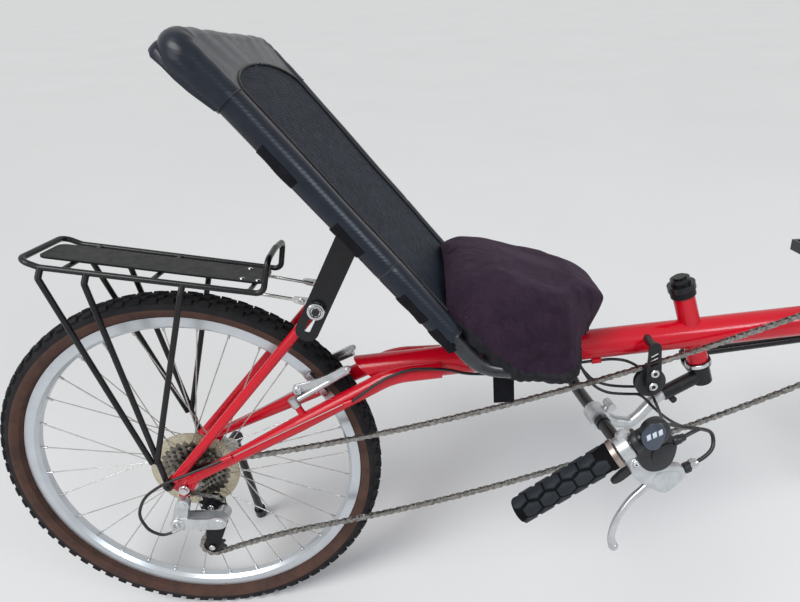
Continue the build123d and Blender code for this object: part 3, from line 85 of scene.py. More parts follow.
rim_low, rim_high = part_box("rear_rim")
PARKED = (Matrix.Translation((rim_low + rim_high) / 2) @ Matrix.Rotation(radians(-LEAN), 4, "X")
          @ Matrix.Scale(0.001, 4))
UPRIGHT = PARKED.inverted()


def steered(axis):
    """The turn of a steered piece about one of the two steering axes."""
    return (Matrix.Translation(axis) @ Matrix.Rotation(radians(PARKED_STEER), 4, STEER)
            @ Matrix.Translation(-axis))


TURNED = {"steering": steered(MIDDLE), "fork": steered(FORK_FOOT), "front_wheel": steered(FORK_FOOT)}

# Camera, floor and light
camera = bpy.data.objects.new("camera", bpy.data.cameras.new("camera"))
scene.collection.objects.link(camera)
scene.camera = camera
camera.data.lens = 27.18
camera.data.shift_x = -0.0836
camera.data.shift_y = 0.0448
camera.data.clip_start = 0.05
# The place that the photograph was taken from, beside the upright bicycle
eye = Matrix(((0.99736, 0.06219, -0.03740, 450.1), (-0.05995, 0.41571, -0.90752, -918.4),
              (-0.04089, 0.90737, 0.41834, 636.6), (0, 0, 0, 1)))
seen = PARKED @ eye
camera.location = seen.translation
camera.rotation_euler = seen.to_quaternion().to_euler()


def lamp(name, place, aim, size, power, colour):
    data = bpy.data.lights.new(name, "AREA")
    data.color = colour
    data.shape = "RECTANGLE"
    data.size, data.size_y = size
    data.energy = power
    made = bpy.data.objects.new(name, data)
    scene.collection.objects.link(made)
    made.location = place
    made.rotation_euler = (Vector(aim) - Vector(place)).to_track_quat("-Z", "Y").to_euler()


def daylight(place, energy, spread):
    """Even soft light from above, the same all over the floor."""
    data = bpy.data.lights.new("daylight", "SUN")
    data.energy = energy
    data.angle = radians(spread)
    made = bpy.data.objects.new("daylight", data)
    scene.collection.objects.link(made)
    made.rotation_euler = (-Vector(place)).to_track_quat("-Z", "Y").to_euler()


BACKDROP = (0.675, 0.682, 0.684)
lamp("window_light", (1.5, -1.85, 2.3), (-0.3, 0.0, 0.5), (1.2, 0.7), 27, (0.80, 0.89, 1.0))
lamp("fill_light", (-2.4, -2.0, 1.8), (0.0, 0.0, 0.4), (1.6, 1.2), 12, (0.92, 0.95, 1.0))
daylight((-0.5, -0.55, 1.0), 1.75, 32)
world = bpy.data.worlds.new("soft_room")
scene.world = world
world.use_nodes = True
room = world.node_tree
room.nodes["Background"].inputs["Color"].default_value = (0.94, 0.96, 1.0, 1)
room.nodes["Background"].inputs["Strength"].default_value = 0.42
scene.view_settings.view_transform = "Standard"


# Nodes of materials and of the world
def give(tree, made, sockets):
    """Links or sets a node's inputs."""
    for name, value in sockets.items():
        if isinstance(value, bpy.types.NodeSocket):
            tree.links.new(value, made.inputs[name])
        else:
            made.inputs[name].default_value = value


def add_node(tree, kind, sockets=None, **settings):
    made = tree.nodes.new(kind)
    for name, value in settings.items():
        setattr(made, name, value)
    give(tree, made, sockets or {})
    return made


def noise(tree, place, scale, detail, roughness=0.5):
    return add_node(tree, "ShaderNodeTexNoise", {"Vector": place, "Scale": scale, "Detail": detail,
                                                 "Roughness": roughness}).outputs[0]


def ranged(tree, value, low, high, to_low=0.0, to_high=1.0):
    """The part of a value from low to high, spread from to_low to to_high."""
    return add_node(tree, "ShaderNodeMapRange", {"Value": value, "From Min": low, "From Max": high,
                                                 "To Min": to_low, "To Max": to_high}).outputs[0]


def mixed(tree, share, first, second):
    """One colour where share is 0, and the other where it is 1."""
    return add_node(tree, "ShaderNodeMixRGB", {"Fac": share, "Color1": first, "Color2": second}).outputs[0]


def relief(tree, height, depth, distance):
    return add_node(tree, "ShaderNodeBump", {"Strength": depth, "Distance": distance,
                                             "Height": height}).outputs[0]


def combined(tree, operation, first, second):
    made = add_node(tree, "ShaderNodeMath", operation=operation)
    for socket, value in zip(made.inputs, (first, second)):
        tree.links.new(value, socket)
    return made.outputs[0]


def see_backdrop():
    """The camera, metal and glass see the floor's own colour above the horizon."""
    rays = add_node(room, "ShaderNodeLightPath").outputs
    seen_from = rays["Is Camera Ray"]
    for kind in ("Is Glossy Ray", "Is Transmission Ray"):
        seen_from = combined(room, "MAXIMUM", seen_from, rays[kind])
    backdrop = add_node(room, "ShaderNodeBackground", {"Color": (*BACKDROP, 1.0), "Strength": 1.0})
    choice = add_node(room, "ShaderNodeMixShader", {"Fac": seen_from})
    room.links.new(room.nodes["Background"].outputs[0], choice.inputs[1])
    room.links.new(backdrop.outputs[0], choice.inputs[2])
    room.links.new(choice.outputs[0], room.nodes["World Output"].inputs["Surface"])


see_backdrop()

# Shared surface effects, as node groups
FLOAT, COLOUR, VECTOR = "NodeSocketFloat", "NodeSocketColor", "NodeSocketVector"


def effect(name, inputs, outputs):
    """An empty node group with its named inputs and outputs."""
    tree = bpy.data.node_groups.new(name, "ShaderNodeTree")
    for label, kind, value in inputs:
        socket = tree.interface.new_socket(label, in_out="INPUT", socket_type=kind)
        if kind != VECTOR:
            socket.default_value = value
    for label, kind in outputs:
        tree.interface.new_socket(label, in_out="OUTPUT", socket_type=kind)
    return tree, tree.nodes.new("NodeGroupInput").outputs, tree.nodes.new("NodeGroupOutput").inputs


def uneven_colour():
    """One colour that drifts to another in soft clouds."""
    tree, given, out = effect("uneven_colour", (
        ("Place", VECTOR, None), ("Clouds", FLOAT, 20.0), ("Colour", COLOUR, (0.5, 0.5, 0.5, 1)),
        ("Other colour", COLOUR, (0.4, 0.4, 0.4, 1)), ("From", FLOAT, 0.4), ("To", FLOAT, 0.7)),
        (("Colour", COLOUR),))
    clouds = noise(tree, given["Place"], given["Clouds"], 6.0, 0.6)
    share = ranged(tree, clouds, given["From"], given["To"])
    tree.links.new(mixed(tree, share, given["Colour"], given["Other colour"]), out["Colour"])
    return tree


def uneven_gloss():
    """Roughness between two values, smeared in patches."""
    tree, given, out = effect("uneven_gloss", (
        ("Place", VECTOR, None), ("Patches", FLOAT, 30.0), ("Smooth", FLOAT, 0.2), ("Rough", FLOAT, 0.4)),
        (("Roughness", FLOAT),))
    patches = noise(tree, given["Place"], given["Patches"], 8.0, 0.7)
    tree.links.new(ranged(tree, patches, 0.35, 0.7, given["Smooth"], given["Rough"]), out["Roughness"])
    return tree


def fine_grain():
    """A fine pebbled or sanded relief."""
    tree, given, out = effect("fine_grain", (
        ("Place", VECTOR, None), ("Grains", FLOAT, 900.0), ("Depth", FLOAT, 0.1)), (("Normal", VECTOR),))
    grains = noise(tree, given["Place"], given["Grains"], 3.0)
    tree.links.new(relief(tree, grains, given["Depth"], 0.001), out["Normal"])
    return tree


def weave():
    """Crossing threads, as relief and as a mask of the gaps between them."""
    tree, given, out = effect("weave", (
        ("Place", VECTOR, None), ("Threads", FLOAT, 500.0), ("Depth", FLOAT, 0.4)),
        (("Normal", VECTOR), ("Gaps", FLOAT)))
    waves = [add_node(tree, "ShaderNodeTexWave", {"Vector": given["Place"], "Scale": given["Threads"],
                                                  "Distortion": 0.3, "Detail": 1.0},
                      wave_type="BANDS", bands_direction=direction).outputs["Fac"]
             for direction in ("X", "Y")]
    both = combined(tree, "MULTIPLY", *waves)
    tree.links.new(relief(tree, both, given["Depth"], 0.0006), out["Normal"])
    tree.links.new(both, out["Gaps"])
    return tree


def twill():
    """Fine slanting ribs pressed into imitation leather."""
    tree, given, out = effect("twill", (
        ("Place", VECTOR, None), ("Ribs", FLOAT, 20.0), ("Depth", FLOAT, 0.2)), (("Normal", VECTOR),))
    ribs = add_node(tree, "ShaderNodeTexWave", {"Vector": given["Place"], "Scale": given["Ribs"],
                                                "Distortion": 0.4, "Detail": 2.0, "Detail Scale": 4.0},
                    wave_type="BANDS", bands_direction="DIAGONAL").outputs["Fac"]
    tree.links.new(relief(tree, ribs, given["Depth"], 0.0004), out["Normal"])
    return tree


def specks():
    """Scattered small specks of dust or lint over a colour."""
    tree, given, out = effect("specks", (
        ("Place", VECTOR, None), ("Size", FLOAT, 400.0), ("Colour", COLOUR, (0.1, 0.1, 0.1, 1)),
        ("Speck colour", COLOUR, (0.6, 0.6, 0.6, 1)), ("Amount", FLOAT, 0.06)), (("Colour", COLOUR),))
    cells = add_node(tree, "ShaderNodeTexVoronoi", {"Vector": given["Place"], "Scale": given["Size"]})
    near = combined(tree, "LESS_THAN", cells.outputs["Distance"], given["Amount"])
    tree.links.new(mixed(tree, near, given["Colour"], given["Speck colour"]), out["Colour"])
    return tree


EFFECTS = {made.__name__: made() for made in (uneven_colour, uneven_gloss, fine_grain, weave, twill, specks)}


def use(tree, name, **given):
    """One of the effects in a material; words in an input's name are joined by underscores."""
    made = add_node(tree, "ShaderNodeGroup")
    made.node_tree = EFFECTS[name]
    give(tree, made, {key.replace("_", " "): value for key, value in given.items()})
    return made.outputs


def opaque(colour):
    return (*colour, 1.0)


def material(name, place="Object"):
    """A new material: its tree, its shader's inputs and the coordinates of its patterns."""
    made = bpy.data.materials.new(name)
    made.use_nodes = True
    tree = made.node_tree
    shader = tree.nodes["Principled BSDF"].inputs
    where = add_node(tree, "ShaderNodeTexCoord").outputs[place]
    return made, tree, shader, where


FINISH = {}


def coloured(name, colour, other, clouds, smooth, rough, grains=0.0, depth=0.0, metallic=0.0, coat=0.0,
             shine=0.5, place="Object", spread=(0.4, 0.7)):
    """A finish of two drifting colours with uneven gloss and, if asked, a fine relief."""
    made, tree, shader, where = material(name, place)
    tone = use(tree, "uneven_colour", Place=where, Clouds=clouds, Colour=opaque(colour),
               Other_colour=opaque(other), From=spread[0], To=spread[1])
    gloss = use(tree, "uneven_gloss", Place=where, Patches=clouds * 2, Smooth=smooth, Rough=rough)
    tree.links.new(tone["Colour"], shader["Base Color"])
    tree.links.new(gloss["Roughness"], shader["Roughness"])
    if depth:
        grain = use(tree, "fine_grain", Place=where, Grains=grains, Depth=depth)
        tree.links.new(grain["Normal"], shader["Normal"])
    shader["Metallic"].default_value = metallic
    shader["Specular IOR Level"].default_value = shine
    shader["Coat Weight"].default_value = coat
    shader["Coat Roughness"].default_value = 0.04
    FINISH[name] = made
    return made


def speckled(made, colour, size, amount):
    """Adds lint or dust specks over the colour that a material already has."""
    tree = made.node_tree
    shader = tree.nodes["Principled BSDF"].inputs
    where = add_node(tree, "ShaderNodeTexCoord").outputs["Object"]
    before = shader["Base Color"].links[0].from_socket
    dotted = use(tree, "specks", Place=where, Size=size, Colour=before, Speck_colour=opaque(colour),
                 Amount=amount)
    tree.links.new(dotted["Colour"], shader["Base Color"])
    return made


coloured("red_paint", (0.60, 0.002, 0.016), (0.50, 0.001, 0.012), 6, 0.16, 0.28, coat=0.3, shine=0.3)
coloured("black_paint", (0.005, 0.005, 0.006), (0.010, 0.010, 0.011), 30, 0.22, 0.36, 900, 0.03, coat=0.12,
         shine=0.3)
coloured("satin_black", (0.005, 0.005, 0.006), (0.011, 0.011, 0.012), 40, 0.36, 0.54, 1200, 0.06,
         shine=0.22)
coloured("chrome", (0.66, 0.67, 0.68), (0.48, 0.48, 0.48), 60, 0.12, 0.26, metallic=1.0)
coloured("steel", (0.42, 0.41, 0.39), (0.34, 0.33, 0.31), 40, 0.28, 0.40, 1500, 0.03, metallic=1.0)
coloured("chain_steel", (0.34, 0.33, 0.31), (0.11, 0.10, 0.092), 150, 0.22, 0.44, metallic=1.0)
coloured("cog_steel", (0.30, 0.28, 0.25), (0.09, 0.075, 0.060), 70, 0.30, 0.52, metallic=0.95)
coloured("rim_alloy", (0.60, 0.63, 0.66), (0.56, 0.59, 0.62), 25, 0.27, 0.32, 700, 0.02, metallic=0.85)
coloured("alloy", (0.60, 0.61, 0.62), (0.44, 0.44, 0.45), 50, 0.22, 0.38, 900, 0.03, metallic=0.95)
coloured("cast_alloy", (0.58, 0.60, 0.61), (0.46, 0.47, 0.48), 70, 0.30, 0.44, 1100, 0.06, metallic=0.8)
coloured("dark_alloy", (0.020, 0.022, 0.027), (0.040, 0.042, 0.048), 45, 0.20, 0.36, metallic=0.3,
         coat=0.3)
coloured("bronze_alloy", (0.40, 0.33, 0.30), (0.28, 0.23, 0.21), 60, 0.26, 0.40, metallic=0.9)
coloured("spoke_steel", (0.62, 0.62, 0.62), (0.40, 0.38, 0.36), 50, 0.18, 0.36, metallic=1.0)
speckled(coloured("tread", (0.010, 0.010, 0.012), (0.024, 0.022, 0.022), 35, 0.72, 0.90, 900, 0.25,
         shine=0.2), (0.14, 0.12, 0.10), 260, 0.05)
coloured("sidewall", (0.080, 0.038, 0.027), (0.048, 0.026, 0.021), 30, 0.66, 0.84, 1300, 0.20, shine=0.3)
coloured("grip_rubber", (0.010, 0.014, 0.018), (0.018, 0.022, 0.027), 60, 0.46, 0.62, 1400, 0.10,
         shine=0.26)
# Darker rubber for the grip's core between the pads: painted shade in the grooves
coloured("rubber_painted_groove_shade", (0.004, 0.004, 0.005), (0.007, 0.007, 0.008), 60, 0.80, 0.92, shine=0.08)
coloured("black_plastic", (0.008, 0.009, 0.011), (0.020, 0.021, 0.024), 60, 0.28, 0.46, 1400, 0.05,
         shine=0.45)
coloured("piping", (0.060, 0.050, 0.044), (0.034, 0.028, 0.026), 60, 0.50, 0.70, 1200, 0.15, shine=0.3)
coloured("housing", (0.009, 0.009, 0.010), (0.018, 0.018, 0.018), 60, 0.28, 0.44, shine=0.45)
coloured("strap_cloth", (0.005, 0.005, 0.007), (0.011, 0.011, 0.014), 60, 0.70, 0.86, 1600, 0.30,
         shine=0.12)
coloured("window_pane", (0.045, 0.060, 0.085), (0.030, 0.040, 0.058), 60, 0.06, 0.14)
coloured("pale_mark", (0.62, 0.66, 0.72), (0.52, 0.56, 0.62), 90, 0.30, 0.44)
coloured("skirt_cloth", (0.006, 0.006, 0.008), (0.014, 0.013, 0.017), 45, 0.60, 0.80, 1500, 0.20,
         shine=0.25)


def clear_plastic():
    """The aged clear plastic of the spoke protector."""
    made, tree, shader, where = material("clear_plastic")
    tone = use(tree, "uneven_colour", Place=where, Clouds=40.0, Colour=opaque((0.72, 0.66, 0.50)),
               Other_colour=opaque((0.56, 0.50, 0.36)), From=0.35, To=0.7)
    gloss = use(tree, "uneven_gloss", Place=where, Patches=120.0, Smooth=0.12, Rough=0.34)
    tree.links.new(tone["Colour"], shader["Base Color"])
    tree.links.new(gloss["Roughness"], shader["Roughness"])
    shader["Transmission Weight"].default_value = 0.8
    return made


def leather():
    """Bluish black imitation leather with a fine twill pressed into it."""
    made, tree, shader, where = material("leather", "UV")
    ribs = use(tree, "twill", Place=where, Ribs=11.0, Depth=0.14)
    tone = use(tree, "uneven_colour", Place=where, Clouds=3.0, Colour=opaque((0.006, 0.009, 0.017)),
               Other_colour=opaque((0.011, 0.016, 0.027)), From=0.35, To=0.75)
    gloss = use(tree, "uneven_gloss", Place=where, Patches=6.0, Smooth=0.27, Rough=0.36)
    tree.links.new(tone["Colour"], shader["Base Color"])
    tree.links.new(gloss["Roughness"], shader["Roughness"])
    tree.links.new(ribs["Normal"], shader["Normal"])
    shader["Specular IOR Level"].default_value = 0.33
    return made


def mesh_cloth():
    """Open mesh cloth: bluish threads round rows of small dark holes."""
    made, tree, shader, where = material("mesh_cloth", "UV")
    threads = use(tree, "weave", Place=where, Threads=8.5, Depth=0.9)
    holes = ranged(tree, threads["Gaps"], 0.30, 0.62)
    drift = use(tree, "uneven_colour", Place=where, Clouds=1.4, Colour=opaque((0.013, 0.022, 0.039)),
                Other_colour=opaque((0.006, 0.010, 0.018)), From=0.35, To=0.65)
    colour = mixed(tree, holes, drift["Colour"], opaque((0.003, 0.004, 0.006)))
    gloss = use(tree, "uneven_gloss", Place=where, Patches=8.0, Smooth=0.50, Rough=0.70)
    tree.links.new(colour, shader["Base Color"])
    tree.links.new(gloss["Roughness"], shader["Roughness"])
    tree.links.new(threads["Normal"], shader["Normal"])
    shader["Specular IOR Level"].default_value = 0.12
    return made


def plum_cloth():
    """The cushion's napped plum cloth with lint on it."""
    made = coloured("plum_cloth", (0.027, 0.013, 0.027), (0.015, 0.007, 0.016), 30, 0.78, 0.92, 2200, 0.55,
                    shine=0.15)
    shader = made.node_tree.nodes["Principled BSDF"].inputs
    shader["Sheen Weight"].default_value = 0.07
    shader["Sheen Roughness"].default_value = 0.5
    shader["Sheen Tint"].default_value = (0.8, 0.6, 0.85, 1)
    return speckled(speckled(made, (0.26, 0.20, 0.26), 150, 0.045), (0.10, 0.07, 0.10), 420, 0.12)


for made_finish in (clear_plastic, leather, mesh_cloth, plum_cloth):
    FINISH[made_finish.__name__] = made_finish()


# Modelling helpers
def choose_nothing():
    for other in bpy.context.selected_objects:
        other.select_set(False)


def start(piece):
    """Makes a piece the only one chosen."""
    choose_nothing()
    piece.select_set(True)
    bpy.context.view_layer.objects.active = piece
    return piece


def edit(piece, *steps):
    """Runs edit-mode steps on the whole of a piece."""
    start(piece)
    bpy.ops.object.mode_set(mode="EDIT")
    bpy.ops.mesh.select_all(action="SELECT")
    for step in steps:
        step()
    bpy.ops.object.mode_set(mode="OBJECT")
    return piece


def merge():
    """Closes seams and poles, and turns the faces outwards."""
    bpy.ops.mesh.remove_doubles(threshold=0.002)
    bpy.ops.mesh.dissolve_degenerate(threshold=0.001)
    bpy.ops.mesh.select_all(action="SELECT")
    bpy.ops.mesh.normals_make_consistent(inside=False)


def with_modifier(piece, kind, **settings):
    """Puts a modifier on a piece and applies it."""
    start(piece)
    modifier = piece.modifiers.new(kind.lower(), kind)
    for name, value in settings.items():
        setattr(modifier, name, value)
    bpy.ops.object.modifier_apply(modifier=modifier.name)
    return piece


def rounded(piece, width, segments=2, angle=30.0):
    """Rounds a piece's edges with a bevel."""
    return with_modifier(piece, "BEVEL", width=width, segments=segments, limit_method="ANGLE",
                         angle_limit=radians(angle))


def smooth(piece, angle=35.0):
    start(piece)
    bpy.ops.object.shade_smooth_by_angle(angle=radians(angle))
    return piece


def round_bar(start_at, end_at, radius, edge=0.8, sides=32):
    """A round bar between two points, with broken edges."""
    run = Vector(end_at) - Vector(start_at)
    bpy.ops.mesh.primitive_cylinder_add(vertices=sides, radius=radius, depth=run.length,
                                        location=(Vector(start_at) + Vector(end_at)) / 2,
                                        rotation=run.to_track_quat("Z", "X").to_euler())
    piece = bpy.context.object
    if edge:
        rounded(piece, edge)
    return piece


def set_places(piece, places):
    """Moves each point of a piece to its new place."""
    for vertex, place in zip(piece.data.vertices, places):
        vertex.co = place


def turned(profile, at, axis, steps=48):
    """A solid turned about an axis; profile lists (distance along the axis, radius)."""
    bpy.ops.mesh.primitive_circle_add(vertices=len(profile), fill_type="NOTHING", location=(0, 0, 0))
    piece = bpy.context.object
    set_places(piece, [Vector((radius, 0, along)) for along, radius in profile])
    edit(piece, lambda: bpy.ops.mesh.spin(steps=steps, angle=2 * pi, center=(0, 0, 0), axis=(0, 0, 1)), merge)
    turn = Vector(axis).to_track_quat("Z", "X").to_matrix().to_4x4()
    piece.data.transform(Matrix.Translation(Vector(at)) @ turn)
    return piece


def plate(outline, thickness, to_place, edge=0.6):
    """A flat plate with the given outline, extruded and with rounded edges; to_place maps (u, v, w)."""
    bpy.ops.mesh.primitive_circle_add(vertices=len(outline), fill_type="NGON", location=(0, 0, 0))
    piece = bpy.context.object
    set_places(piece, [Vector((u, v, 0)) for u, v in outline])
    edit(piece, lambda: bpy.ops.mesh.extrude_region_move(TRANSFORM_OT_translate={"value": (0, 0, thickness)}),
         lambda: bpy.ops.mesh.select_all(action="SELECT"),
         lambda: bpy.ops.mesh.normals_make_consistent(inside=False))
    if edge:
        rounded(piece, edge)
    for vertex in piece.data.vertices:
        vertex.co = to_place(*vertex.co)
    edit(piece, lambda: bpy.ops.mesh.normals_make_consistent(inside=False))
    return piece


MAP_SCALE = 0.01     # of a cloth's UV map, a millimetre


def sheet(columns, rows, place, cloth_size=None):
    """A grid whose points lie where place puts their shares across and along, each from 0 to 1."""
    bpy.ops.mesh.primitive_grid_add(x_subdivisions=columns, y_subdivisions=rows, size=2,
                                    location=(0, 0, 0), calc_uvs=True)
    piece = bpy.context.object
    for vertex in piece.data.vertices:
        vertex.co = place((vertex.co.x + 1) / 2, (vertex.co.y + 1) / 2)
    if cloth_size:
        for loop in piece.data.uv_layers[0].data:
            loop.uv = [share * size * MAP_SCALE for share, size in zip(loop.uv, cloth_size)]
    return piece


def cut_round(points, times=2):
    """A closed outline with its corners cut round."""
    for _ in range(times):
        points = [(a[0] * (1 - t) + b[0] * t, a[1] * (1 - t) + b[1] * t)
                  for a, b in zip(points, points[1:] + points[:1]) for t in (0.25, 0.75)]
    return points


def beside(y, x=0.0, z=0.0):
    """Maps a plate's (u, v, w) to x, z and the distance outwards from y."""
    way = -1 if y < 0 else 1
    return lambda u, v, w: Vector((x + u, y + way * w, z + v))


def line_tube(points, radius, order=3, sides=3):
    """A round tube along a smooth line through the space of its route points."""
    data = bpy.data.curves.new("line", "CURVE")
    data.dimensions = "3D"
    spline = data.splines.new("NURBS")
    spline.points.add(len(points) - 1)
    for point, place in zip(spline.points, points):
        point.co = (*place, 1.0)
    spline.order_u = order
    spline.use_endpoint_u = True
    spline.resolution_u = 10
    data.bevel_depth = radius
    data.bevel_resolution = sides
    data.use_fill_caps = True
    made = bpy.data.objects.new("line", data)
    scene.collection.objects.link(made)
    start(made)
    bpy.ops.object.convert(target="MESH")
    return bpy.context.object


def joined(pieces):
    choose_nothing()
    for piece in pieces:
        piece.select_set(True)
    bpy.context.view_layer.objects.active = pieces[0]
    bpy.ops.object.join()
    return bpy.context.object


def copied(piece, matrix):
    """A copy of a piece with its own mesh, moved by the matrix."""
    made = bpy.data.objects.new(piece.name, piece.data.copy())
    scene.collection.objects.link(made)
    made.data.transform(matrix)
    return made


def cover(piece, *finishes):
    """Gives a piece its materials, and keeps which face has which."""
    which = [face.material_index for face in piece.data.polygons]
    piece.data.materials.clear()
    for each in finishes:
        piece.data.materials.append(FINISH[each])
    if len(finishes) > 1:
        for face, index in zip(piece.data.polygons, which):
            face.material_index = index


def settle(piece, name, body, finish, angle=35.0):
    """Puts a finished piece where the parked bicycle holds it, with its material and its body."""
    if angle:
        smooth(piece, angle)
    turn = TURNED.get(body, Matrix.Identity(4))
    piece.data.transform(PARKED @ turn @ piece.matrix_world)
    piece.matrix_world = Matrix.Identity(4)
    piece.name = piece.data.name = name
    cover(piece, *(finish if isinstance(finish, (list, tuple)) else (finish,)))
    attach(piece, body)
    return piece


def socket_bolt(at, direction, radius, height):
    """A round bolt head with a hexagonal socket."""
    profile = [(0, 0), (0, radius), (height - 0.6, radius), (height, radius - 0.6), (height, radius * 0.5),
               (height * 0.35, radius * 0.5), (height * 0.35, 0)]
    return turned(profile, at, direction, 18)


def hex_nut(at, direction, across_flats, height):
    """A hexagonal nut or bolt head that stands on at."""
    run = Vector(direction).normalized() * height
    return round_bar(Vector(at), Vector(at) + run, across_flats / 2 / cos(pi / 6), 0.5, 6)


# Tyres: a turned carcass with brown walls, and moulded blocks round the tread
TREAD_DEPTH = 3.2
WALL_SHARE = 0.60                        # of the tyre's height, up to which its wall is brown
REAR_BEAD, FRONT_BEAD = 279.5, 203.0     # radii of the rims' bead seats


def tyre(name, body, x, z, bead, radius, width, pitches):
    """One tyre round its axle at x and z, with as many pitches of blocks round it."""
    low = radius - TREAD_DEPTH
    half = width / 2
    profile = [(0, bead - 1.5), (9.4, bead - 1.5), (9.6, bead + 4.0), (11.2, bead + 7.2),
               (half * 0.80, bead + 0.24 * (radius - bead)), (half * 0.97, bead + 0.42 * (radius - bead)),
               (half * 0.99, bead + 0.55 * (radius - bead)), (half * 0.93, bead + 0.68 * (radius - bead)),
               (half * 0.80, low - 5.2), (half * 0.56, low - 2.0), (half * 0.28, low - 0.4), (0, low)]
    ring = profile + [(-a, r) for a, r in reversed(profile[1:-1])]
    carcass = turned(ring, (x, 0, z), ACROSS, 144)
    blocks = []
    # y, radius at the block, tilt in degrees, size across and along the tread, place in the pitch
    step = 2 * pi / pitches
    for y, reach, tilt, size, place in (
            (0.0, low, 0, (9.0, 0.52), 0.0),
            (0.20 * width, low - 0.5, 14, (8.0, 0.42), 0.45),
            (-0.20 * width, low - 0.5, -14, (8.0, 0.42), 0.55),
            (0.37 * width, low - 3.6, 34, (9.0, 0.58), 0.0),
            (-0.37 * width, low - 3.6, -34, (9.0, 0.58), 0.1)):
        bpy.ops.mesh.primitive_cube_add(size=1, location=(0, 0, 0))
        block = bpy.context.object
        edit(block, lambda: bpy.ops.transform.resize(
            value=(size[1] * step * radius, size[0], TREAD_DEPTH + 1.6)))
        rounded(block, 0.7, 1)
        turn = (Matrix.Rotation(place * step, 4, "Y")
                @ Matrix.Translation((0, y, reach + TREAD_DEPTH / 2 - 0.9)))
        block.data.transform(turn @ Matrix.Rotation(radians(-tilt), 4, "X"))
        blocks.append(block)
    pitch = joined(blocks)
    edit(pitch, lambda: bpy.ops.mesh.spin(steps=pitches - 1, dupli=True, angle=step * (pitches - 1),
                                          center=(0, 0, 0), axis=(0, 1, 0)))
    pitch.data.transform(Matrix.Translation((x, 0, z)))
    piece = joined([carcass, pitch])
    for face in piece.data.polygons:
        reach = hypot(face.center.x - x, face.center.z - z)
        face.material_index = 1 if reach < bead + WALL_SHARE * (radius - bead) else 0
    settle(piece, name, body, ("tread", "sidewall"), 40)
    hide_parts(name.replace("_tread", ""))


tyre("rear_tyre_tread", "rear_wheel", 0, 0, REAR_BEAD, REAR_TYRE_RADIUS, 50.0, 76)
tyre("front_tyre_tread", "front_wheel", WHEELBASE, FRONT_Z, FRONT_BEAD, FRONT_TYRE_RADIUS, 44.0, 60)

# Chain: plates and rollers on the pins of the same line that the solid follows
PITCH = 12.7


def pitch_radius(teeth):
    """From a wheel's middle to the chain's pins."""
    return PITCH / (2 * sin(pi / teeth))


def on_circle(centre, radius, angle):
    return (centre[0] + radius * cos(radians(angle)), centre[1] + radius * sin(radians(angle)))


def sag(begin, begin_angle, end, end_angle, count=60):
    """A curved run of chain between two points, with its slope in degrees at both."""
    a, b = tan(radians(begin_angle)), tan(radians(end_angle))
    x = (end[1] - begin[1] + a * begin[0] - b * end[0]) / (a - b)
    bend = (x, begin[1] + a * (x - begin[0]))
    return [tuple((1 - t) ** 2 * p + 2 * t * (1 - t) * q + t * t * r for p, q, r in zip(begin, bend, end))
            for t in (k / count for k in range(count + 1))]


def arc(centre, radius, begin, end, count=24):
    return [on_circle(centre, radius, begin + (end - begin) * k / count) for k in range(count + 1)]


def spaced(points, count):
    """The same closed line as count points at even distances."""
    lengths = [hypot(b[0] - a[0], b[1] - a[1]) for a, b in zip(points, points[1:] + points[:1])]
    step = sum(lengths) / count
    result, travelled, k = [], 0.0, 0
    for n in range(count):
        while travelled + lengths[k] < n * step - 1e-9:
            travelled += lengths[k]
            k += 1
        share = (n * step - travelled) / lengths[k]
        a, b = points[k], points[(k + 1) % len(points)]
        result.append((a[0] + (b[0] - a[0]) * share, a[1] + (b[1] - a[1]) * share))
    return result


CRANK = (1340.0, 287.0)
GUIDE = (25.0, -58.0)
JOCKEY = (8.0, -148.0)
CHAIN_Y = -47.9
CHAINRING_Y = -42.0
COG = pitch_radius(14)
PULLEY = pitch_radius(10)
RING = pitch_radius(28)
guide_to_cog = degrees(atan2(GUIDE[1], GUIDE[0]) - acos((COG + PULLEY) / hypot(*GUIDE)))
gap = (GUIDE[0] - JOCKEY[0], GUIDE[1] - JOCKEY[1])
jockey_to_guide = degrees(atan2(gap[1], gap[0]) + acos(2 * PULLEY / hypot(*gap)))
LOW_BREAK = (200.0, -124.8)      # where the slack lower run changes its slope
LOW_SLOPE = 7.5
# Degrees round each wheel at which the chain meets or leaves it
COG_TOP, RING_TOP, RING_LOW, JOCKEY_LOW = 93.5, 111.8, -64.9, -73.0
route = sag(on_circle((0, 0), COG, COG_TOP), COG_TOP - 90, on_circle(CRANK, RING, RING_TOP), RING_TOP - 90)
route += arc(CRANK, RING, RING_TOP, RING_LOW)[1:]
route += sag(on_circle(CRANK, RING, RING_LOW), RING_LOW + 90, LOW_BREAK, LOW_SLOPE)[1:]
route += sag(LOW_BREAK, LOW_SLOPE, on_circle(JOCKEY, PULLEY, JOCKEY_LOW), JOCKEY_LOW + 90, 12)[1:]
route += arc(JOCKEY, PULLEY, JOCKEY_LOW, jockey_to_guide - 360)[1:]
route += arc(GUIDE, PULLEY, jockey_to_guide - 180, guide_to_cog + 180)
route += arc((0, 0), COG, guide_to_cog, COG_TOP - 360)[:-1]

PLATE_RADIUS = 4.1
PLATE_WAIST = 2.9
LINK_COUNT = 256


def link_outline():
    """One plate of the chain: round at both pins and drawn in between them."""
    ends = []
    for pin, begin in ((PITCH, -105), (0, 75)):
        end = [on_circle((pin, 0), PLATE_RADIUS, begin + 30 * k) for k in range(8)]
        ends.append(end)
    return [*ends[0], (PITCH / 2, PLATE_WAIST), *ends[1], (PITCH / 2, -PLATE_WAIST)]


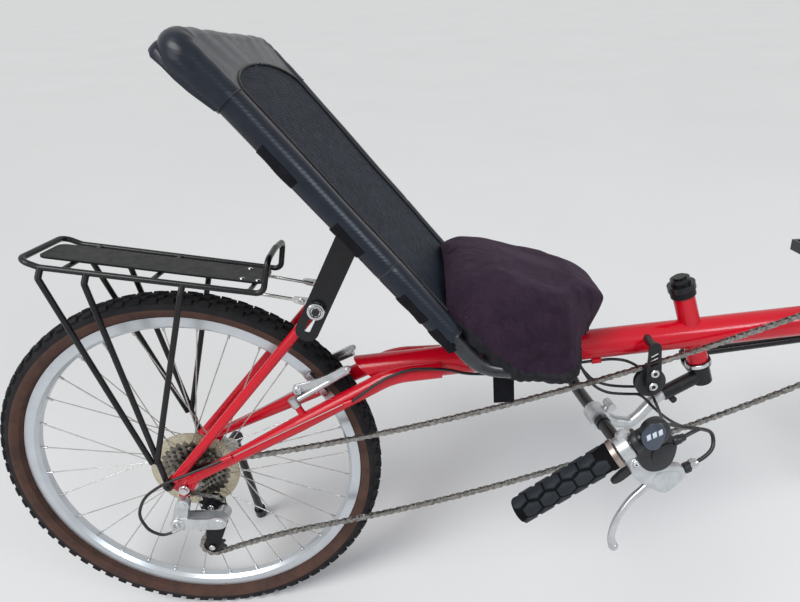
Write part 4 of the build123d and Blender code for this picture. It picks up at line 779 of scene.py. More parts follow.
def link(near, pin_half, pin_radius, sides):
    """Two plates, near mm from the middle, with what their two pins show."""
    outline = link_outline()
    parts = [plate(outline, 1.0, lambda u, v, w: Vector((u, near + w - 0.1, v)), 0),
             plate(outline, 1.0, lambda u, v, w: Vector((u, -near - w + 0.1, v)), 0)]
    for at in (0, PITCH):
        parts.append(round_bar((at, -pin_half, 0), (at, pin_half, 0), pin_radius, 0, sides))
    return joined(parts)


def chain():
    pins = spaced(route, LINK_COUNT)
    slant = (CHAINRING_Y - CHAIN_Y) / CRANK[0]
    inner, outer = link(1.9, 2.4, 3.8, 12), link(3.0, 4.4, 1.8, 10)
    links = []
    for k, (pin, after) in enumerate(zip(pins, pins[1:] + pins[:1])):
        angle = atan2(after[1] - pin[1], after[0] - pin[0])
        place = Matrix.Translation((pin[0], CHAIN_Y + slant * pin[0], pin[1]))
        links.append(copied(outer if k % 2 else inner, place @ Matrix.Rotation(-angle, 4, "Y")))
    for each in (inner, outer):
        bpy.data.objects.remove(each)
    piece = joined(links)
    settle(piece, "chain_links", "frame", "chain_steel", 30)
    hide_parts("chain")


chain()


# Spoke nipples and valves
SPOKES = 32
VALVE_ANGLE = radians(5.6)


def nipples(name, body, x, z, bead, flange):
    """The nipples round one rim, set a little towards each flange in turn, and the valve."""
    inner = bead + 6.0 - 20.5
    first = turned([(0, 0), (0, 1.3), (1.0, 2.1), (7.5, 2.2), (8.5, 3.0), (10, 3.0), (10, 0)],
                   (0, 0, 0), (0, 0, 1), 10)
    made = []
    for k in range(SPOKES):
        turn = Matrix.Rotation(pi / 2 - 2 * pi * k / SPOKES, 4, "Y")
        made.append(copied(first, Matrix.Translation((x, 0.06 * flange[k % 2], z)) @ turn
                           @ Matrix.Translation((0, 0, inner - 8.5))))
    bpy.data.objects.remove(first)
    settle(joined(made), name, body, "spoke_steel")
    out = Vector((cos(VALVE_ANGLE), 0, sin(VALVE_ANGLE)))
    profile = [(0, 0), (0, 3.2), (3, 3.9), (15, 3.9), (16, 4.6), (18, 4.6), (30, 3.0), (30, 0)]
    valve = turned(profile, Vector((x, 0, z)) + out * (inner - 26), out, 16)
    settle(valve, name.replace("nipples", "valve"), body, "black_plastic")


nipples("rear_nipples", "rear_wheel", 0, 0, REAR_BEAD, (-17.0, 35.0))
nipples("front_nipples", "front_wheel", WHEELBASE, FRONT_Z, FRONT_BEAD, (-31.0, 31.0))


# Seat back: leather sleeves round the tubes, a mesh panel and an arched leather border
SEAT_TOP = Vector((184.0, 0, 662.0))
SEAT_BEND = Vector((497.0, 0, 250.0))
DOWN_SEAT = (SEAT_BEND - SEAT_TOP).normalized()
OUT_OF_SEAT = Vector((-DOWN_SEAT.z, 0, DOWN_SEAT.x))
SEAT_HALF = 185.0        # from the middle of the seat to the axis of a side tube
SEAT_LENGTH = 450.0
CLOTH_TOP = 14.0         # where the mesh cloth begins, below the top tube
CLOTH_EDGE = 10.0        # between a side tube's axis and the cloth's edge
CLOTH_RISE = 14.4        # of the cloth over the tubes' axes


def on_seat(down, across, out):
    """A point by the seat's plane: down from its top tube, across it and out towards the rider."""
    return SEAT_TOP + DOWN_SEAT * down + Vector((0, across, 0)) + OUT_OF_SEAT * out


def dip(down, across):
    """How the stretched cloth hangs in between its tubes."""
    share = across / (SEAT_HALF - 12)
    along = sin(pi * min(max((down - 10) / (SEAT_LENGTH + 10), 0), 1))
    return CLOTH_RISE - 1.1 * (1 - share * share) * along + 0.5 * sin(down / 31.0 + across / 47.0)


def mesh_panel():
    width, length = SEAT_HALF - CLOTH_EDGE, SEAT_LENGTH - CLOTH_TOP

    def place(share, along):
        across, down = (2 * share - 1) * width, CLOTH_TOP + (1 - along) * length
        return on_seat(down, across, dip(down, across))

    piece = sheet(60, 60, place, (2 * width, length))
    with_modifier(piece, "SOLIDIFY", thickness=1.2, offset=-1)
    settle(piece, "seat_mesh", "frame", "mesh_cloth", 60)
    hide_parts("seat_back")


def border_width(down):
    """Distance of the leather panel's inner edge from the middle of the seat."""
    arch_top, arch_end, inner = 38.0, 78.0, 163.0
    if down < arch_top:
        return 0.0
    if down < arch_end:
        share = (arch_end - down) / (arch_end - arch_top)
        return inner * (1 - share ** 2.2) ** 0.5
    return inner


def leather_border():
    """The sewn panel: arched under the top roll and narrow down both sides, with piping along its edge."""
    halves = []
    for way in (RIGHT, LEFT):
        def place(share, along):
            down = -2 + (1 - along) ** 1.6 * (SEAT_LENGTH + 4)
            inner = border_width(down)
            across = inner + share * (SEAT_HALF - 6 - inner)
            lift = 1.3 + 1.5 * sin(pi * share) * max(0, 1 - down / 70)
            crease = 0.7 * sin(across / 9.0 + down / 14.0) * max(0, 1 - down / 60)
            return on_seat(down, way * across, dip(down, across) + lift + crease)

        halves.append(sheet(14, 120, place, (SEAT_HALF, SEAT_LENGTH)))
    piece = joined(halves)
    edit(piece, merge)
    with_modifier(piece, "SOLIDIFY", thickness=1.4)
    settle(piece, "seat_border", "frame", "leather", 60)
    pipes = []
    for way in (RIGHT, LEFT):
        edge = [38.05, 38.6, 40, 42, 45, 49, 54, 60, 66, 72, 78] + list(range(100, int(SEAT_LENGTH), 30))
        pipes.append(line_tube([on_seat(down, way * border_width(down),
                                        dip(down, border_width(down)) + 2.2) for down in edge], 1.1))
        # The seam between the roll and the cloth
        pipes.append(line_tube([on_seat(down, way * (SEAT_HALF - 15.2), 12.6)
                                for down in range(80, int(SEAT_LENGTH) + 10, 40)], 1.0))
    settle(joined(pipes), "seat_piping", "frame", "piping")


def rolled(centres, sizes, sides=28, wrinkle=0.0, out_way=OUT_OF_SEAT):
    """A skin round a line of centres, closed at both ends. A size is a radius, or the half height
    towards out_way and the half width beside it."""
    centres = [centres[0], *centres, centres[-1]]
    sizes = [0.0005, *sizes, 0.0005]
    last = len(centres) - 1
    rings, travelled, lengths = [], 0.0, []
    for k, centre in enumerate(centres):
        along = (centres[min(k + 2, last)] - centres[max(k - 2, 0)]).normalized()
        out = (out_way - along * along.dot(out_way)).normalized()
        beside_it = along.cross(out)
        high, wide = sizes[k] if isinstance(sizes[k], tuple) else (sizes[k], sizes[k])
        ring = []
        for n in range(sides):
            angle = 2 * pi * n / sides
            reach = 1 + wrinkle * sin(3 * angle + k * 0.9) * sin(k * 1.7)
            ring.append(centre + (out * cos(angle) * high + beside_it * sin(angle) * wide) * reach)
        rings.append(ring)
        travelled += (centre - centres[max(k - 1, 0)]).length
        lengths.append(travelled)
    widest = max(size[1] if isinstance(size, tuple) else size for size in sizes)
    piece = sheet(sides, last, lambda share, along: rings[round(along * last)][round(share * sides) % sides])
    for loop in piece.data.uv_layers[0].data:
        k = round(loop.uv[1] * last)
        loop.uv = (loop.uv[0] * 2 * pi * widest * MAP_SCALE, lengths[k] * MAP_SCALE)
    edit(piece, merge)
    return piece


CORNER = 26.0            # radius of the top roll's corner
SOCK_END = 74.0          # how far down the side tubes the sock of the top roll reaches


def top_corner_path():
    """Half of the top roll's line, from the middle round the corner: (down, across)."""
    top = CORNER - 3
    half = [(-3.0 + 1.1 * sin(k * 0.9), (SEAT_HALF - CORNER) * k / 15) for k in range(16)]
    for k in range(1, 13):
        turn = pi / 2 * k / 12
        half.append((top - CORNER * max(cos(turn), 0.0) ** 0.7,
                     SEAT_HALF - CORNER + (CORNER + 1) * sin(turn) ** 0.7))
    return half + [(top + (SOCK_END - top) * k / 10, SEAT_HALF + 1.0) for k in range(1, 11)]


def side_rolls():
    """The leather sleeves of both side tubes, drawn in at their seams."""
    rolls = []
    begin, count = 66, 100
    for way in (RIGHT, LEFT):
        centres, radii = [], []
        for k in range(count + 1):
            down = begin + (SEAT_LENGTH + 6 - begin) * k / count
            radius = 17.6 + 0.25 * sin(down / 23.0)
            for seam in (330.0, 452.0):
                radius -= 1.2 * max(0, 1 - abs(down - seam) / 3.2)
            centres.append(on_seat(down, way * SEAT_HALF, 0.8))
            radii.append(radius)
        rolls.append(rolled(centres, radii))
    settle(joined(rolls), "seat_rolls", "frame", "leather", 60)


def top_roll():
    """The padded sock over the top tube and its corners."""
    half = top_corner_path()
    line = [(down, -across) for down, across in reversed(half[1:])] + half
    centres, radii = [], []
    for k, (down, across) in enumerate(line):
        fall = min(max(down - 8, 0) / 62, 1)
        centres.append(on_seat(down, across, -4.6 + 5.0 * fall))
        radii.append((21.5 - 2.7 * fall + 0.5 * sin(k * 1.3) * (1 - fall), 18.8 - 0.2 * fall))
    settle(rolled(centres, radii, 32, 0.012), "seat_top_roll", "frame", "leather", 60)


def sewn_edge():
    """The seam's edge that stands off behind the sock."""
    rims = []
    for way in (RIGHT, LEFT):
        centres = [on_seat(down, way * across, out) for down, across, out in (
            (-19, 120, -17), (-20, 150, -19), (-19, 172, -20), (-15, 186, -21), (-8, 193, -21.5),
            (6, 196, -20.5), (22, 197, -19.5), (40, 197, -17), (58, 198, -14.5), (71, 198, -11))]
        rims.append(rolled(centres, [(5.6 + 0.8 * sin(k * 2.1), 1.5) for k in range(10)], 12))
    settle(joined(rims), "seat_sewn_edge", "frame", "leather", 50)


def stitched_hems():
    """Stitches round the sock's hem and round the side rolls' seam."""
    hems = []
    for way in (RIGHT, LEFT):
        for down, reach in ((72.5, 18.9), (330.0, 17.2)):
            turns = [2 * pi * k / 24 for k in range(25)]
            hems.append(line_tube([on_seat(down, way * SEAT_HALF + reach * sin(turn), 0.6 + reach * cos(turn))
                                   for turn in turns], 0.55))
    settle(joined(hems), "seat_hems", "frame", "piping")


FLAPS = ((129, 183), (246, 293), (365, 411), (427, 468))     # down the side tube, from and to
WRAP = 0.72              # share of a flap that lies round its roll
BEYOND = 8.0             # what stands off past it


def seat_flaps():
    """The ends of the straps that lace the cloth behind the tubes, standing off the rolls."""
    flaps = []
    for way in (RIGHT, LEFT):
        for begin, end in FLAPS:
            def place(share, along):
                turn = radians(98 + 84 * min(share / WRAP, 1))
                beyond = max(share - WRAP, 0) / (1 - WRAP) * BEYOND
                reach = 18.7 + 0.5 * sin(along * 7 + begin)
                across = SEAT_HALF + reach * sin(turn) + beyond * cos(turn)
                out = 0.8 + reach * cos(turn) - beyond * sin(turn) - 0.10 * beyond
                return on_seat(begin + (end - begin) * along, way * across, out)

            piece = sheet(16, 8, place)
            with_modifier(piece, "SOLIDIFY", thickness=2.2, offset=way)
            edit(piece, lambda: bpy.ops.mesh.normals_make_consistent(inside=False))
            flaps.append(rounded(piece, 0.6))
    settle(joined(flaps), "seat_flaps", "frame", "strap_cloth", 40)


for part_of_seat in (mesh_panel, leather_border, side_rolls, top_roll, sewn_edge, stitched_hems, seat_flaps):
    part_of_seat()


# Cushion: the cloth cover filled by pressure, with a gathered skirt under it
SKIRT_TOP = ((440, 330), (484, 312), (522, 268), (560, 238), (610, 230), (650, 231), (704, 246), (745, 252))
PLEAT = 12.0
BASE_TUBE_Z = 222.0
VOXEL = 0.0055
PUFF = 0.008             # the furthest that the pressure may move a point
HEM = ((536, 177, 241), (580, 170, 230), (606, 158, 223.5), (634, 134, BASE_TUBE_Z), (656, 104, BASE_TUBE_Z),
       (664, 78, BASE_TUBE_Z), (665, 40, BASE_TUBE_Z), (665, 0, BASE_TUBE_Z))


def skirt_top(x):
    """Height at which the skirt's own cloth begins, x mm ahead of the rear axle."""
    for (x_low, z_low), (x_high, z_high) in zip(SKIRT_TOP, SKIRT_TOP[1:]):
        if x <= x_high:
            return z_low + (z_high - z_low) * (x - x_low) / (x_high - x_low)
    return SKIRT_TOP[-1][1]


def gather_skirt(piece):
    """Pleats the cloth under the cover's hem, draws the hem in, and gives the skirt its own cloth."""
    piece.data.update()
    moved = []
    for vertex in piece.data.vertices:
        place = UPRIGHT @ vertex.co
        depth = skirt_top(place.x) - place.z
        out = Vector((vertex.normal.x, vertex.normal.y, 0))
        shift = Vector()
        if depth > -7 and out.length > 0.2:
            run = place.x * 0.82 + (190 - abs(place.y)) * 0.57
            strength = min((depth + 7) / 14, 1)
            pinch = 1.8 * max(0, 1 - abs(depth) / 5)
            fold = 1.3 * strength * sin(2 * pi * run / PLEAT + 0.8 * sin(run / 9.0))
            shift = out.normalized() * (fold - pinch) * 0.001
        moved.append(vertex.co + shift)
    set_places(piece, moved)
    for face in piece.data.polygons:
        centre = UPRIGHT @ face.center
        face.material_index = 1 if centre.z < skirt_top(centre.x) else 0


NOSE = 640               # where the cushion's nose begins, ahead of the rear axle


def shape_cushion(piece):
    """Rolls the cushion's sides down, draws its nose back and fills its near corners."""
    places = []
    for vertex in piece.data.vertices:
        place = UPRIGHT @ vertex.co
        # The sides fall away, the more the higher they are
        side_share = max(abs(place.y) - 88, 0) / 95
        height = min(max((place.z - 225) / 130, 0), 1)
        place.z -= 34 * side_share ** 1.6 * height
        if place.x > NOSE:
            place.x = NOSE + (place.x - NOSE) * 0.80
            raised = min(max((place.z - 245) / 30, 0), 1)
            place.z += 13 * raised * min((place.x - NOSE) / 60, 1)
            place.x -= 0.34 * (1 - raised) * (place.x - NOSE)
        # A hollow across the middle, corners drawn out and a dent under each thigh
        top = min(max((place.z - 270) / 60, 0), 1)
        place.z -= 13 * top * max(0, 1 - ((place.x - 572) / 88) ** 2)
        place.y *= 1 + 0.15 * max(0, 1 - abs(place.x - 628) / 45)
        dent = max(0, 1 - hypot(place.x - 600, abs(place.y) - 75) / 70)
        place.z -= 9 * dent * height
        places.append(PARKED @ place)
    set_places(piece, places)


def hem_tubes():
    """The cover's hem, drawn round the tubes of the seat's base."""
    halves = [line_tube([Vector((x, way * y, z)) for x, y, z in HEM], 16.4, 3, 4) for way in (RIGHT, LEFT)]
    hem = joined(halves)
    hem.data.transform(PARKED)
    hem.matrix_world = Matrix.Identity(4)
    return hem


def puff(piece):
    """Fills the cover by pressure, held at its base and capped."""
    low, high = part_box("seat_cushion")
    held = piece.vertex_groups.new(name="held")
    for vertex in piece.data.vertices:
        share = (vertex.co.z - low.z) / (high.z - low.z)
        held.add([vertex.index], max(0.0, min(1.0, 1.15 - share * 2.2)), "REPLACE")
    settings = piece.modifiers.new("Cloth", "CLOTH").settings
    settings.quality = 5
    settings.mass = 0.3
    settings.use_pressure = True
    settings.uniform_pressure_force = 4.0
    settings.effector_weights.gravity = 0.0
    settings.vertex_group_mass = "held"
    settings.bending_stiffness = 0.6
    before = [vertex.co.copy() for vertex in piece.data.vertices]
    for step in range(1, 13):
        scene.frame_set(step)
    start(piece)
    bpy.ops.object.modifier_apply(modifier="Cloth")
    for vertex, place in zip(piece.data.vertices, before):
        moved = vertex.co - place
        if moved.length > PUFF:
            vertex.co = place + moved.normalized() * PUFF
    scene.frame_set(1)


def cushion():
    piece = bpy.data.objects.new("cushion", nodes["seat_cushion"].data.copy())
    scene.collection.objects.link(piece)
    edit(piece, lambda: bpy.ops.mesh.remove_doubles(threshold=0.0002),
         lambda: bpy.ops.mesh.normals_make_consistent(inside=False))
    piece = joined([piece, hem_tubes()])
    with_modifier(piece, "REMESH", mode="VOXEL", voxel_size=VOXEL)
    with_modifier(piece, "SMOOTH", factor=0.5, iterations=22)
    shape_cushion(piece)
    puff(piece)
    with_modifier(piece, "SUBSURF", levels=1, render_levels=1)
    gather_skirt(piece)
    smooth(piece, 60)
    piece.name = piece.data.name = "cushion_cover"
    cover(piece, "plum_cloth", "skirt_cloth")
    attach(piece, "frame")
    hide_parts("seat_cushion")


cushion()

# Seat frame: bent tube, its front bar drawn in under the cushion as the photograph shows
SEAT_TUBE_RADIUS = 11.0
BRACE_RADIUS = 9.0
BRACE = (343.5, 448.0)   # x and z of the bar between the side tubes
FRONT_BAR = ((622, 140), (640, 92), (642, 50), (642, 0))      # x and y of half of it
BASE_CORNER = Vector((600, 165, BASE_TUBE_Z + 0.4))


def seat_tubes():
    corner, bend = SEAT_TOP + ACROSS * SEAT_HALF, SEAT_BEND + ACROSS * SEAT_HALF
    base = (BASE_CORNER - bend).normalized()
    line = [SEAT_TOP, SEAT_TOP + ACROSS * 100, corner - ACROSS * 40, corner, corner + DOWN_SEAT * 40,
            corner + DOWN_SEAT * 100, bend - DOWN_SEAT * 50, bend, bend + base * 50, BASE_CORNER,
            *(Vector((x, y, BASE_TUBE_Z)) for x, y in FRONT_BAR)]
    parts = [line_tube([Vector((q.x, q.y * -way, q.z)) for q in line], SEAT_TUBE_RADIUS, 3, 8)
             for way in (RIGHT, LEFT)]
    x, z = BRACE
    parts.append(round_bar((x, -SEAT_HALF, z), (x, SEAT_HALF, z), BRACE_RADIUS, 0))
    settle(joined(parts), "seat_tubes", "frame", "dark_alloy", 50)
    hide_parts("seat_frame")


seat_tubes()

# Idler bolts
for x, z in ((790, 131), (791, 155)):
    head = turned([(0, 0), (0, 7.2), (4.6, 7.2), (5.8, 6.0), (5.8, 3.4), (3.4, 2.6), (3.4, 0)],
                  (x, -60.9, z), (0, -1, 0), 24)
    settle(head, "idler_bolt_%d" % z, "frame", "chrome")

# Bolts of the seat struts: a wide washer round a dark hexagon
STRUT_BOLT = (262, 304)          # x and z
WASHER = [(0, 5.0), (0, 12.6), (0.8, 13.2), (1.6, 12.8), (2.2, 11.0), (3.4, 10.4), (3.8, 8.6), (2.2, 7.2),
          (2.2, 5.0), (0, 5.0)]
for way, side in SIDES:
    x, z = STRUT_BOLT
    washer = turned(WASHER, (x, way * 75.6, z), ACROSS * way, 48)
    settle(washer, "strut_washer_" + side, "frame", "chrome")
    bolt = hex_nut((x, way * 75.0, z), ACROSS * way, 11.0, 5.4)
    settle(bolt, "strut_bolt_" + side, "frame", "black_plastic", 20)

# Rivets of the rack's deck, which falls towards its tail
DECK_SLOPE = 0.196
RIVET = [(0, 0), (0, 4.0), (0.8, 3.6), (1.6, 2.2), (1.9, 0)]
rivets = []
for x in (148, 171):
    top = 366 - DECK_SLOPE * (x - 10) + 6.9
    rivets += [turned(RIVET, (x, y, top), (0.19, 0, 1), 20) for y in (-24, 24)]
settle(joined(rivets), "deck_rivets", "frame", "chrome")

# Stays of the rack: thin rods with flat brackets at the seat bolts
STAY_BRACKET = ((222, 320), (246, 315), (268, 310), (272, 300), (262, 295), (244, 302), (222, 308))
stays = []
for way in (RIGHT, LEFT):
    out, face = ACROSS * way, way * 43.6
    stays += [round_bar((160, way * 40, 329), (240, way * 40, 309), 2.7, 0.8, 20),
              plate(cut_round(STAY_BRACKET), 2.4, beside(way * 41.4), 0.8),
              socket_bolt((236, face, 311), out, 4.6, 3.4), hex_nut((262, face, 304), out, 9.0, 3.6),
              hex_nut((160, way * 40, 327.5), (0, 0, 1), 9.0, 6.0)]
settle(joined(stays), "rack_rods", "frame", "spoke_steel", 30)
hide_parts("rack_stays")

# Rear brake: bright arms with their pivot bolts
BRAKE_ARM = ((196, 152), (204, 142), (216, 146), (252, 163), (286, 178), (297, 186), (294, 194), (284, 192),
             (252, 178), (214, 166), (199, 165))
for way, side in SIDES:
    arm = plate(cut_round(BRAKE_ARM), 8.0, beside(way * 35), 2.6)
    bolt = socket_bolt((206, way * 42.8, 156), ACROSS * way, 6.6, 5.0)
    top = socket_bolt((290, way * 42.6, 187), ACROSS * way, 4.0, 3.6)
    settle(joined([arm, bolt, top]), "brake_arm_" + side, "frame", "alloy", 40)

# Derailleur: cast link, its pivots and the cage's screws
CAST_LINK = ((-32, -62), (-22, -52), (0, -55), (30, -58), (44, -54), (58, -60), (60, -74), (48, -82),
             (26, -80), (0, -78), (-22, -78))
cast_link = plate(cut_round(CAST_LINK), 6.0, beside(-83.4), 2.4)
knuckle = turned([(0, 0), (0, 10.6), (1.4, 12.0), (6, 12.0), (8, 10.4), (8.8, 6.6), (7.0, 5.6), (7.0, 0)],
                 (-22, -83.5, -64), -ACROSS, 40)
pivot = turned([(0, 0), (0, 9.0), (4.6, 9.0), (6.2, 7.4), (6.2, 0)], (46, -84, -68), -ACROSS, 40)
settle(joined([cast_link, knuckle, pivot]), "derailleur_link", "frame", "cast_alloy", 40)
screws = [socket_bolt((x, -56.0, z), -ACROSS, 5.4, 3.2) for x, z in (GUIDE, JOCKEY)]
screws.append(socket_bolt((-22, -91, -64), -ACROSS, 3.8, 1.6))
screws += [round_bar((x, -80, -82), (x, -80, -88), 2.2, 0.4, 16) for x in (8, 16)]
settle(joined(screws), "derailleur_screws", "frame", "spoke_steel", 30)

# Headset: the bright upper nut and the bright lower race
nut = turned([(0, 17.4), (0, 20.6), (1.2, 21.8), (4.0, 21.8), (5.2, 20.6), (5.2, 17.4), (0, 17.4)],
             middle_axis(85.4), STEER, 8)
race = turned([(0, 18.2), (0, 21.4), (1, 22.4), (6.4, 21.9), (7.4, 20.8), (7.4, 18.2), (0, 18.2)],
              middle_axis(-63.0), STEER, 48)
settle(joined([nut, race]), "headset_rings", "frame", "chrome", 30)

# Bars: grips, brake levers and shifters, all in the steering's own frame
GRIP_START = (80.1, -259.9, 310.6)     # up, ahead, y
GRIP_END = (44.5, -385.5, 295.2)
GRIP_LENGTH = 135.0
GRIP_BASE = 15.9
PAD_COLUMNS, PAD_ROWS, PAD_PITCH = 6, 6, 24.0


def bar_point(point, way):
    """A point (up, ahead, y) beside the bars' steering axis, on one side."""
    return middle_axis(point[0], point[1], way * point[2])


def along_grip(distance, way):
    """A point on the grip's axis, distance mm ahead of its front end."""
    begin, end = bar_point(GRIP_START, way), bar_point(GRIP_END, way)
    return begin + (begin - end).normalized() * distance


def grip_run(way):
    """Direction of the grip's axis, towards its front end."""
    return (along_grip(1, way) - along_grip(0, way)).normalized()


def grip_pad(centre, middle_turn, on_grip):
    """One raised six-sided pad, bent round the grip; on_grip maps (along, turn, radius)."""
    half_long, half_tall, half_corner, filled = 12.0, 10.7, 6.0, 0.965

    def place(share, share_round):
        a, b = 2 * share - 1, 2 * share_round - 1
        edge = max(abs(a), abs(b)) > 0.99
        inset = filled * (1.0 if edge else 0.96)
        along = min(max(centre + a * half_long * inset, 3.5), GRIP_LENGTH - 3.5)
        half = (half_tall - (half_tall - half_corner) * abs(a)) * inset
        return on_grip(along, middle_turn + b * half / (GRIP_BASE + 1), GRIP_BASE + (-0.6 if edge else 1.7))

    return edit(sheet(8, 10, place), merge)


def grip(way, side):
    run = grip_run(way)
    out = (STEER - run * run.dot(STEER)).normalized()
    beside_it = run.cross(out)
    foot = along_grip(-GRIP_LENGTH, way)
    core = turned([(0, 0), (0, 12.5), (0.8, 14.6), (2.6, 15.9), (5, 16.4), (9, GRIP_BASE), (126, GRIP_BASE),
                   (129, 17.0), (134, 17.2), (GRIP_LENGTH, 16.4), (GRIP_LENGTH, 0)], foot, run, 64)
    # The core shows only between the pads; its darker rubber is painted shade in the grooves
    settle(core, "grip_core_" + side, "steering", "rubber_painted_groove_shade", 38)

    def on_grip(along, turn, radius):
        return foot + run * along + (out * cos(turn) + beside_it * sin(turn)) * radius

    pads = []
    for column in range(PAD_COLUMNS):
        for row in range(PAD_ROWS):
            centre = 10 + PAD_PITCH * (row + (column % 2) / 2)
            if centre <= GRIP_LENGTH - 6:
                pads.append(grip_pad(centre, 2 * pi * (column + 0.25) / PAD_COLUMNS, on_grip))
    settle(joined(pads), "grip_pads_" + side, "steering", "grip_rubber", 38)
    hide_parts("grip_" + side)
    ring = turned([(0, 11.4), (0, 17.2), (0.7, 18.2), (6.8, 18.2), (7.5, 17.4), (7.5, 11.4), (0, 11.4)],
                  along_grip(0.2, way), run, 64)
    up = out * 0.35 - beside_it * way * 0.9
    screw = socket_bolt(along_grip(3.9, way) + up.normalized() * 17.4, up, 2.6, 1.6)
    settle(joined([ring, screw]), "grip_ring_" + side, "steering", "bronze_alloy")


def bar_side(way, y):
    """Maps a plate's (ahead, up, outwards) beside the steering axis."""
    return lambda u, v, w: middle_axis(v, u, way * (y + w))


LEVER_BODY = ((-250, 106), (-251, 92), (-243, 77), (-247, 64), (-245, 44), (-237, 25), (-222, 6), (-213, -3),
              (-197, 2), (-181, 10), (-181, 28), (-199, 36), (-214, 42), (-224, 54), (-227, 73), (-224, 88),
              (-229, 101), (-238, 108))
# Ahead, up and half width of the blade
BLADE = ((-206, 14, 6.4), (-222, 17, 6.2), (-232, 16, 5.8), (-241, 12.5, 5.2), (-252.5, 7.7, 4.7),
         (-263.6, 0.2, 4.4), (-274.2, -9.4, 4.3), (-284, -21.4, 4.4), (-290.5, -33.3, 4.7),
         (-293.4, -42.5, 5.2), (-293.6, -50, 5.9))
BLADE_Y = 311
LEVER_PLATE = ((-226, 22), (-214, 6), (-198, 10), (-188, 14), (-188, 24), (-204, 31), (-217, 34))


def lever_blade(way):
    """The blade, on a smooth curve through its points, with a round tip."""
    centres = [middle_axis(up, ahead, way * BLADE_Y) for ahead, up, _ in BLADE]
    line, sizes = [], []
    for k, (a, b) in enumerate(zip(centres, centres[1:])):
        before, after = centres[max(k - 1, 0)], centres[min(k + 2, len(centres) - 1)]
        for t in (0, 0.25, 0.5, 0.75):
            line.append(0.5 * ((2 * a) + (b - before) * t + (2 * before - 5 * a + 4 * b - after) * t * t
                               + (3 * a - before - 3 * b + after) * t ** 3))
            sizes.append((4.6, BLADE[k][2] * (1 - t) + BLADE[k + 1][2] * t))
    blade = rolled([*line, centres[-1]], [*sizes, (4.8, BLADE[-1][2])], 20, 0, ACROSS)
    tip = turned([(-6.2, 0), (-5.6, 2.8), (-3.6, 5.0), (0, 6.3), (3.6, 5.0), (5.6, 2.8), (6.2, 0)],
                 middle_axis(-53, -293.4, way * BLADE_Y),
                 middle_axis(-53, -293.4) - middle_axis(-44, -293), 24)
    return joined([blade, tip])


def brake_lever(way, side):
    body = plate(cut_round(LEVER_BODY), 12.0, bar_side(way, 305), 3.4)
    inset_plate = plate(cut_round(LEVER_PLATE), 1.6, bar_side(way, 316.2), 1.2)
    clamp = turned([(0, 11.3), (0, 14.8), (1.2, 16.0), (14.8, 16.0), (16, 14.8), (16, 11.3), (0, 11.3)],
                   along_grip(9, way), grip_run(way), 48)
    out = ACROSS * way
    pinch = socket_bolt(middle_axis(96, -232, way * 300), out, 5.2, 10)
    body = joined([body, inset_plate, clamp, pinch])
    settle(body, "brake_lever_body_" + side, "steering", "cast_alloy")
    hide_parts("brake_lever_" + side)
    settle(lever_blade(way), "brake_blade_" + side, "steering", "alloy", 50)
    pivot = socket_bolt(middle_axis(60, -236, way * 316.5), out, 5.4, 2.6)
    rim = turned([(0, 0), (0, 8.6), (0.8, 8.6), (1.6, 7.8), (1.6, 6.2), (0.8, 5.6), (0.8, 0)],
                 middle_axis(60, -236, way * 316.6), out, 32)
    nose = turned([(0, 0), (0, 5.6), (1, 6.4), (6, 6.4), (7, 5.4), (10, 5.0), (11, 3.8), (11, 0)],
                  middle_axis(21, -173, way * BLADE_Y), AHEAD, 24)
    settle(joined([pivot, rim, nose]), "lever_screws_" + side, "steering", "chrome")
    knurls = turned([(0, 0), (0, 6.2), (0.6, 6.8), (7, 6.8), (7.6, 6.2), (7.6, 0)],
                    middle_axis(19, -181, way * BLADE_Y), AHEAD, 20)
    settle(knurls, "lever_adjuster_" + side, "steering", "black_plastic", 15)


# Outlines of the shifter, ahead of the bars' axis and up along it
SHIFTER_BASE = ((-230, 96), (-217, 90), (-196, 90), (-184, 79), (-189, 60), (-203, 42), (-226, 46),
                (-236, 62), (-236, 80))
SHIFTER_COVER = ((-221, 78), (-197, 80), (-190, 74), (-194, 62), (-205, 50), (-220, 54))
TRIGGER = ((-226, 60), (-237, 54), (-253, 46), (-270, 38), (-268, 31), (-256, 31), (-238, 38), (-224, 46))
PANE = ((-229, 98), (-228, 112), (-219, 119), (-203, 117), (-197, 106), (-203, 95), (-212, 84), (-223, 87))


def shifter(way, side):
    dome = turned([(0, 0), (0, 17.0), (6, 17.4), (11, 16.4), (13.6, 13.6), (14.6, 9.0), (14.8, 0)],
                  middle_axis(101, -208, way * 321.5), ACROSS * way, 48)
    base = plate(cut_round(SHIFTER_BASE, 3), 9.0, bar_side(way, 318.5), 2.4)
    cover_plate = plate(cut_round(SHIFTER_COVER), 2.0, bar_side(way, 327.2), 0.9)
    trigger = plate(cut_round(TRIGGER), 6.0, bar_side(way, 298), 2.0)
    collar = turned([(0, 0), (0, 5.2), (1.0, 5.8), (8, 5.8), (9, 5.0), (14, 4.4), (15, 3.4), (15, 0)],
                    middle_axis(76, -190, way * 325), AHEAD, 24)
    band = turned([(0, 11.3), (0, 14.2), (1, 15.0), (9, 15.0), (10, 14.2), (10, 11.3), (0, 11.3)],
                  along_grip(27, way), grip_run(way), 40)
    settle(joined([dome, base, cover_plate, trigger, collar, band]), "shifter_pod_" + side, "steering",
           "black_plastic", 40)
    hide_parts("shifter_" + side)
    pane = plate(cut_round(PANE), 4.0, bar_side(way, 334.8), 1.6)
    settle(pane, "shifter_window_" + side, "steering", "window_pane")
    marks = [plate([(u, 102), (u + 5.0, 102.6), (u + 5.4, 110), (u + 0.4, 109)], 0.6,
                   bar_side(way, 338.5), 0.2) for u in (-223.0, -215.8, -208.6)]
    settle(joined(marks), "shifter_marks_" + side, "steering", "pale_mark")


for way, side in SIDES:
    grip(way, side)
    brake_lever(way, side)
    shifter(way, side)

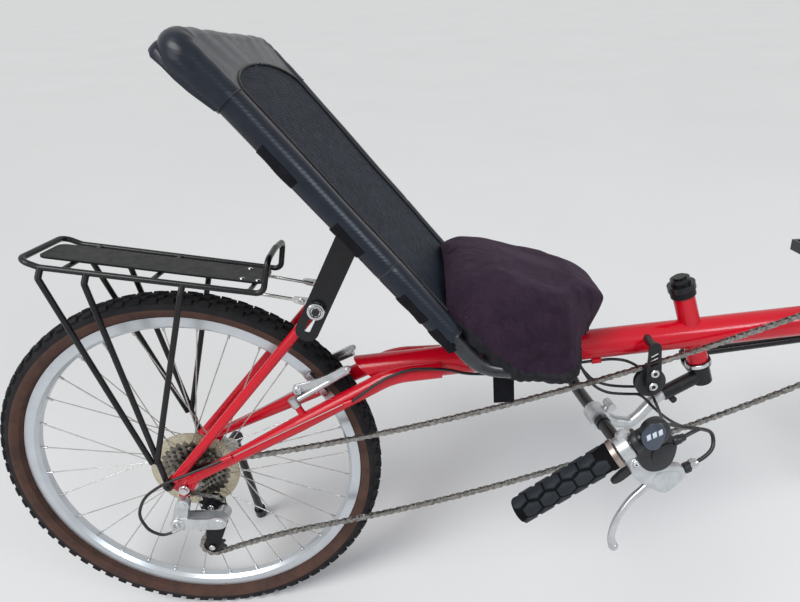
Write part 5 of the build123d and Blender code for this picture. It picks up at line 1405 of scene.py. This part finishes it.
# Cables to the right bar: each bends from the frame's cable end to its place on the steering
HOUSING_RADIUS = 2.5
BAR_CABLES = (     # two points on the frame, then up, ahead and y beside the steering axis
    ((796.5, -25.8, 116.0), (800.5, -26, 100),
     [(-87, -101, -32), (-70, -119.6, -96), (-7.2, -149.4, -183), (40, -155, -262), (68, -150, -314),
      (76, -158, -322), (76, -178, -325)]),
    ((776.0, -20.0, 92.6), (787, -20, 91.8),
     [(-95, -106, -22), (-85, -106, -84), (-34, -118, -180), (20, -122, -262), (40, -130, -300),
      (24, -142, -312), (21, -166, -311)]),
)


def bar_cables():
    """Both housings in one piece that bends between the frame and the steering."""
    parts = []
    turn = TURNED["steering"]
    for first, second, rest in BAR_CABLES:
        points = [Vector(first), Vector(second), *(turn @ middle_axis(*q) for q in rest)]
        parts.append(line_tube(points, HOUSING_RADIUS, 3, 5))
    piece = joined(parts)
    piece.data.transform(PARKED)
    piece.matrix_world = Matrix.Identity(4)
    piece.name = piece.data.name = "bar_cable_housings"
    smooth(piece, 60)
    cover(piece, "housing")
    begin, end = (PARKED @ Vector((794, -24, 100)), PARKED @ turn @ middle_axis(-82, -108, -90))
    tuple(begin)
    tuple(end)
    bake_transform(piece)
    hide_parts("bar_cables")


bar_cables()

# Finishes of the CAD pieces
NODE_FINISH = {
    "red_paint": ("main_tube", "chainstay_right", "chainstay_left", "seat_stay_right", "seat_stay_left"),
    "black_paint": ("steering_shaft", "handlebar", "tie_rod", "fork", "rack_frame", "idler_bracket",
                    "seat_strut_right", "seat_strut_left", "seat_brace", "side_stand"),
    "satin_black": ("rack_deck", "derailleur_cage", "headset_cups"),
    "chrome": ("rear_axle", "front_axle", "seat_bolts"),
    "steel": ("bracket_cups", "stand_bracket", "gear_wire"),
    "cog_steel": ("cassette",),
    "rim_alloy": ("rear_rim", "front_rim"),
    "spoke_steel": ("rear_hub", "front_hub"),
    "alloy": ("crankset", "rear_brake_right", "rear_brake_left", "front_brake_right", "front_brake_left"),
    "cast_alloy": ("derailleur_body", "stem_extension"),
    "black_plastic": ("pedal_right", "pedal_left", "idler_pulley", "derailleur_pulleys"),
    "housing": ("gear_housing_rear", "gear_housing_front", "under_seat_cables"),
    "clear_plastic": ("spoke_protector",),
    "strap_cloth": ("seat_strap",),
}
for finish_name, names in NODE_FINISH.items():
    for name in names:
        nodes[name].data.materials.clear()
        nodes[name].data.materials.append(FINISH[finish_name])

# Floor
bpy.ops.mesh.primitive_plane_add(size=40, location=(0, 0, 0))
floor = bpy.context.object
floor.name = "floor"
made, tree, shader, where = material("pale_floor")
tone = use(tree, "uneven_colour", Place=where, Clouds=0.8, Colour=opaque((0.80, 0.80, 0.79)),
           Other_colour=opaque((0.77, 0.77, 0.76)), From=0.3, To=0.7)
tree.links.new(tone["Colour"], shader["Base Color"])
shader["Roughness"].default_value = 0.85
floor.data.materials.append(made)
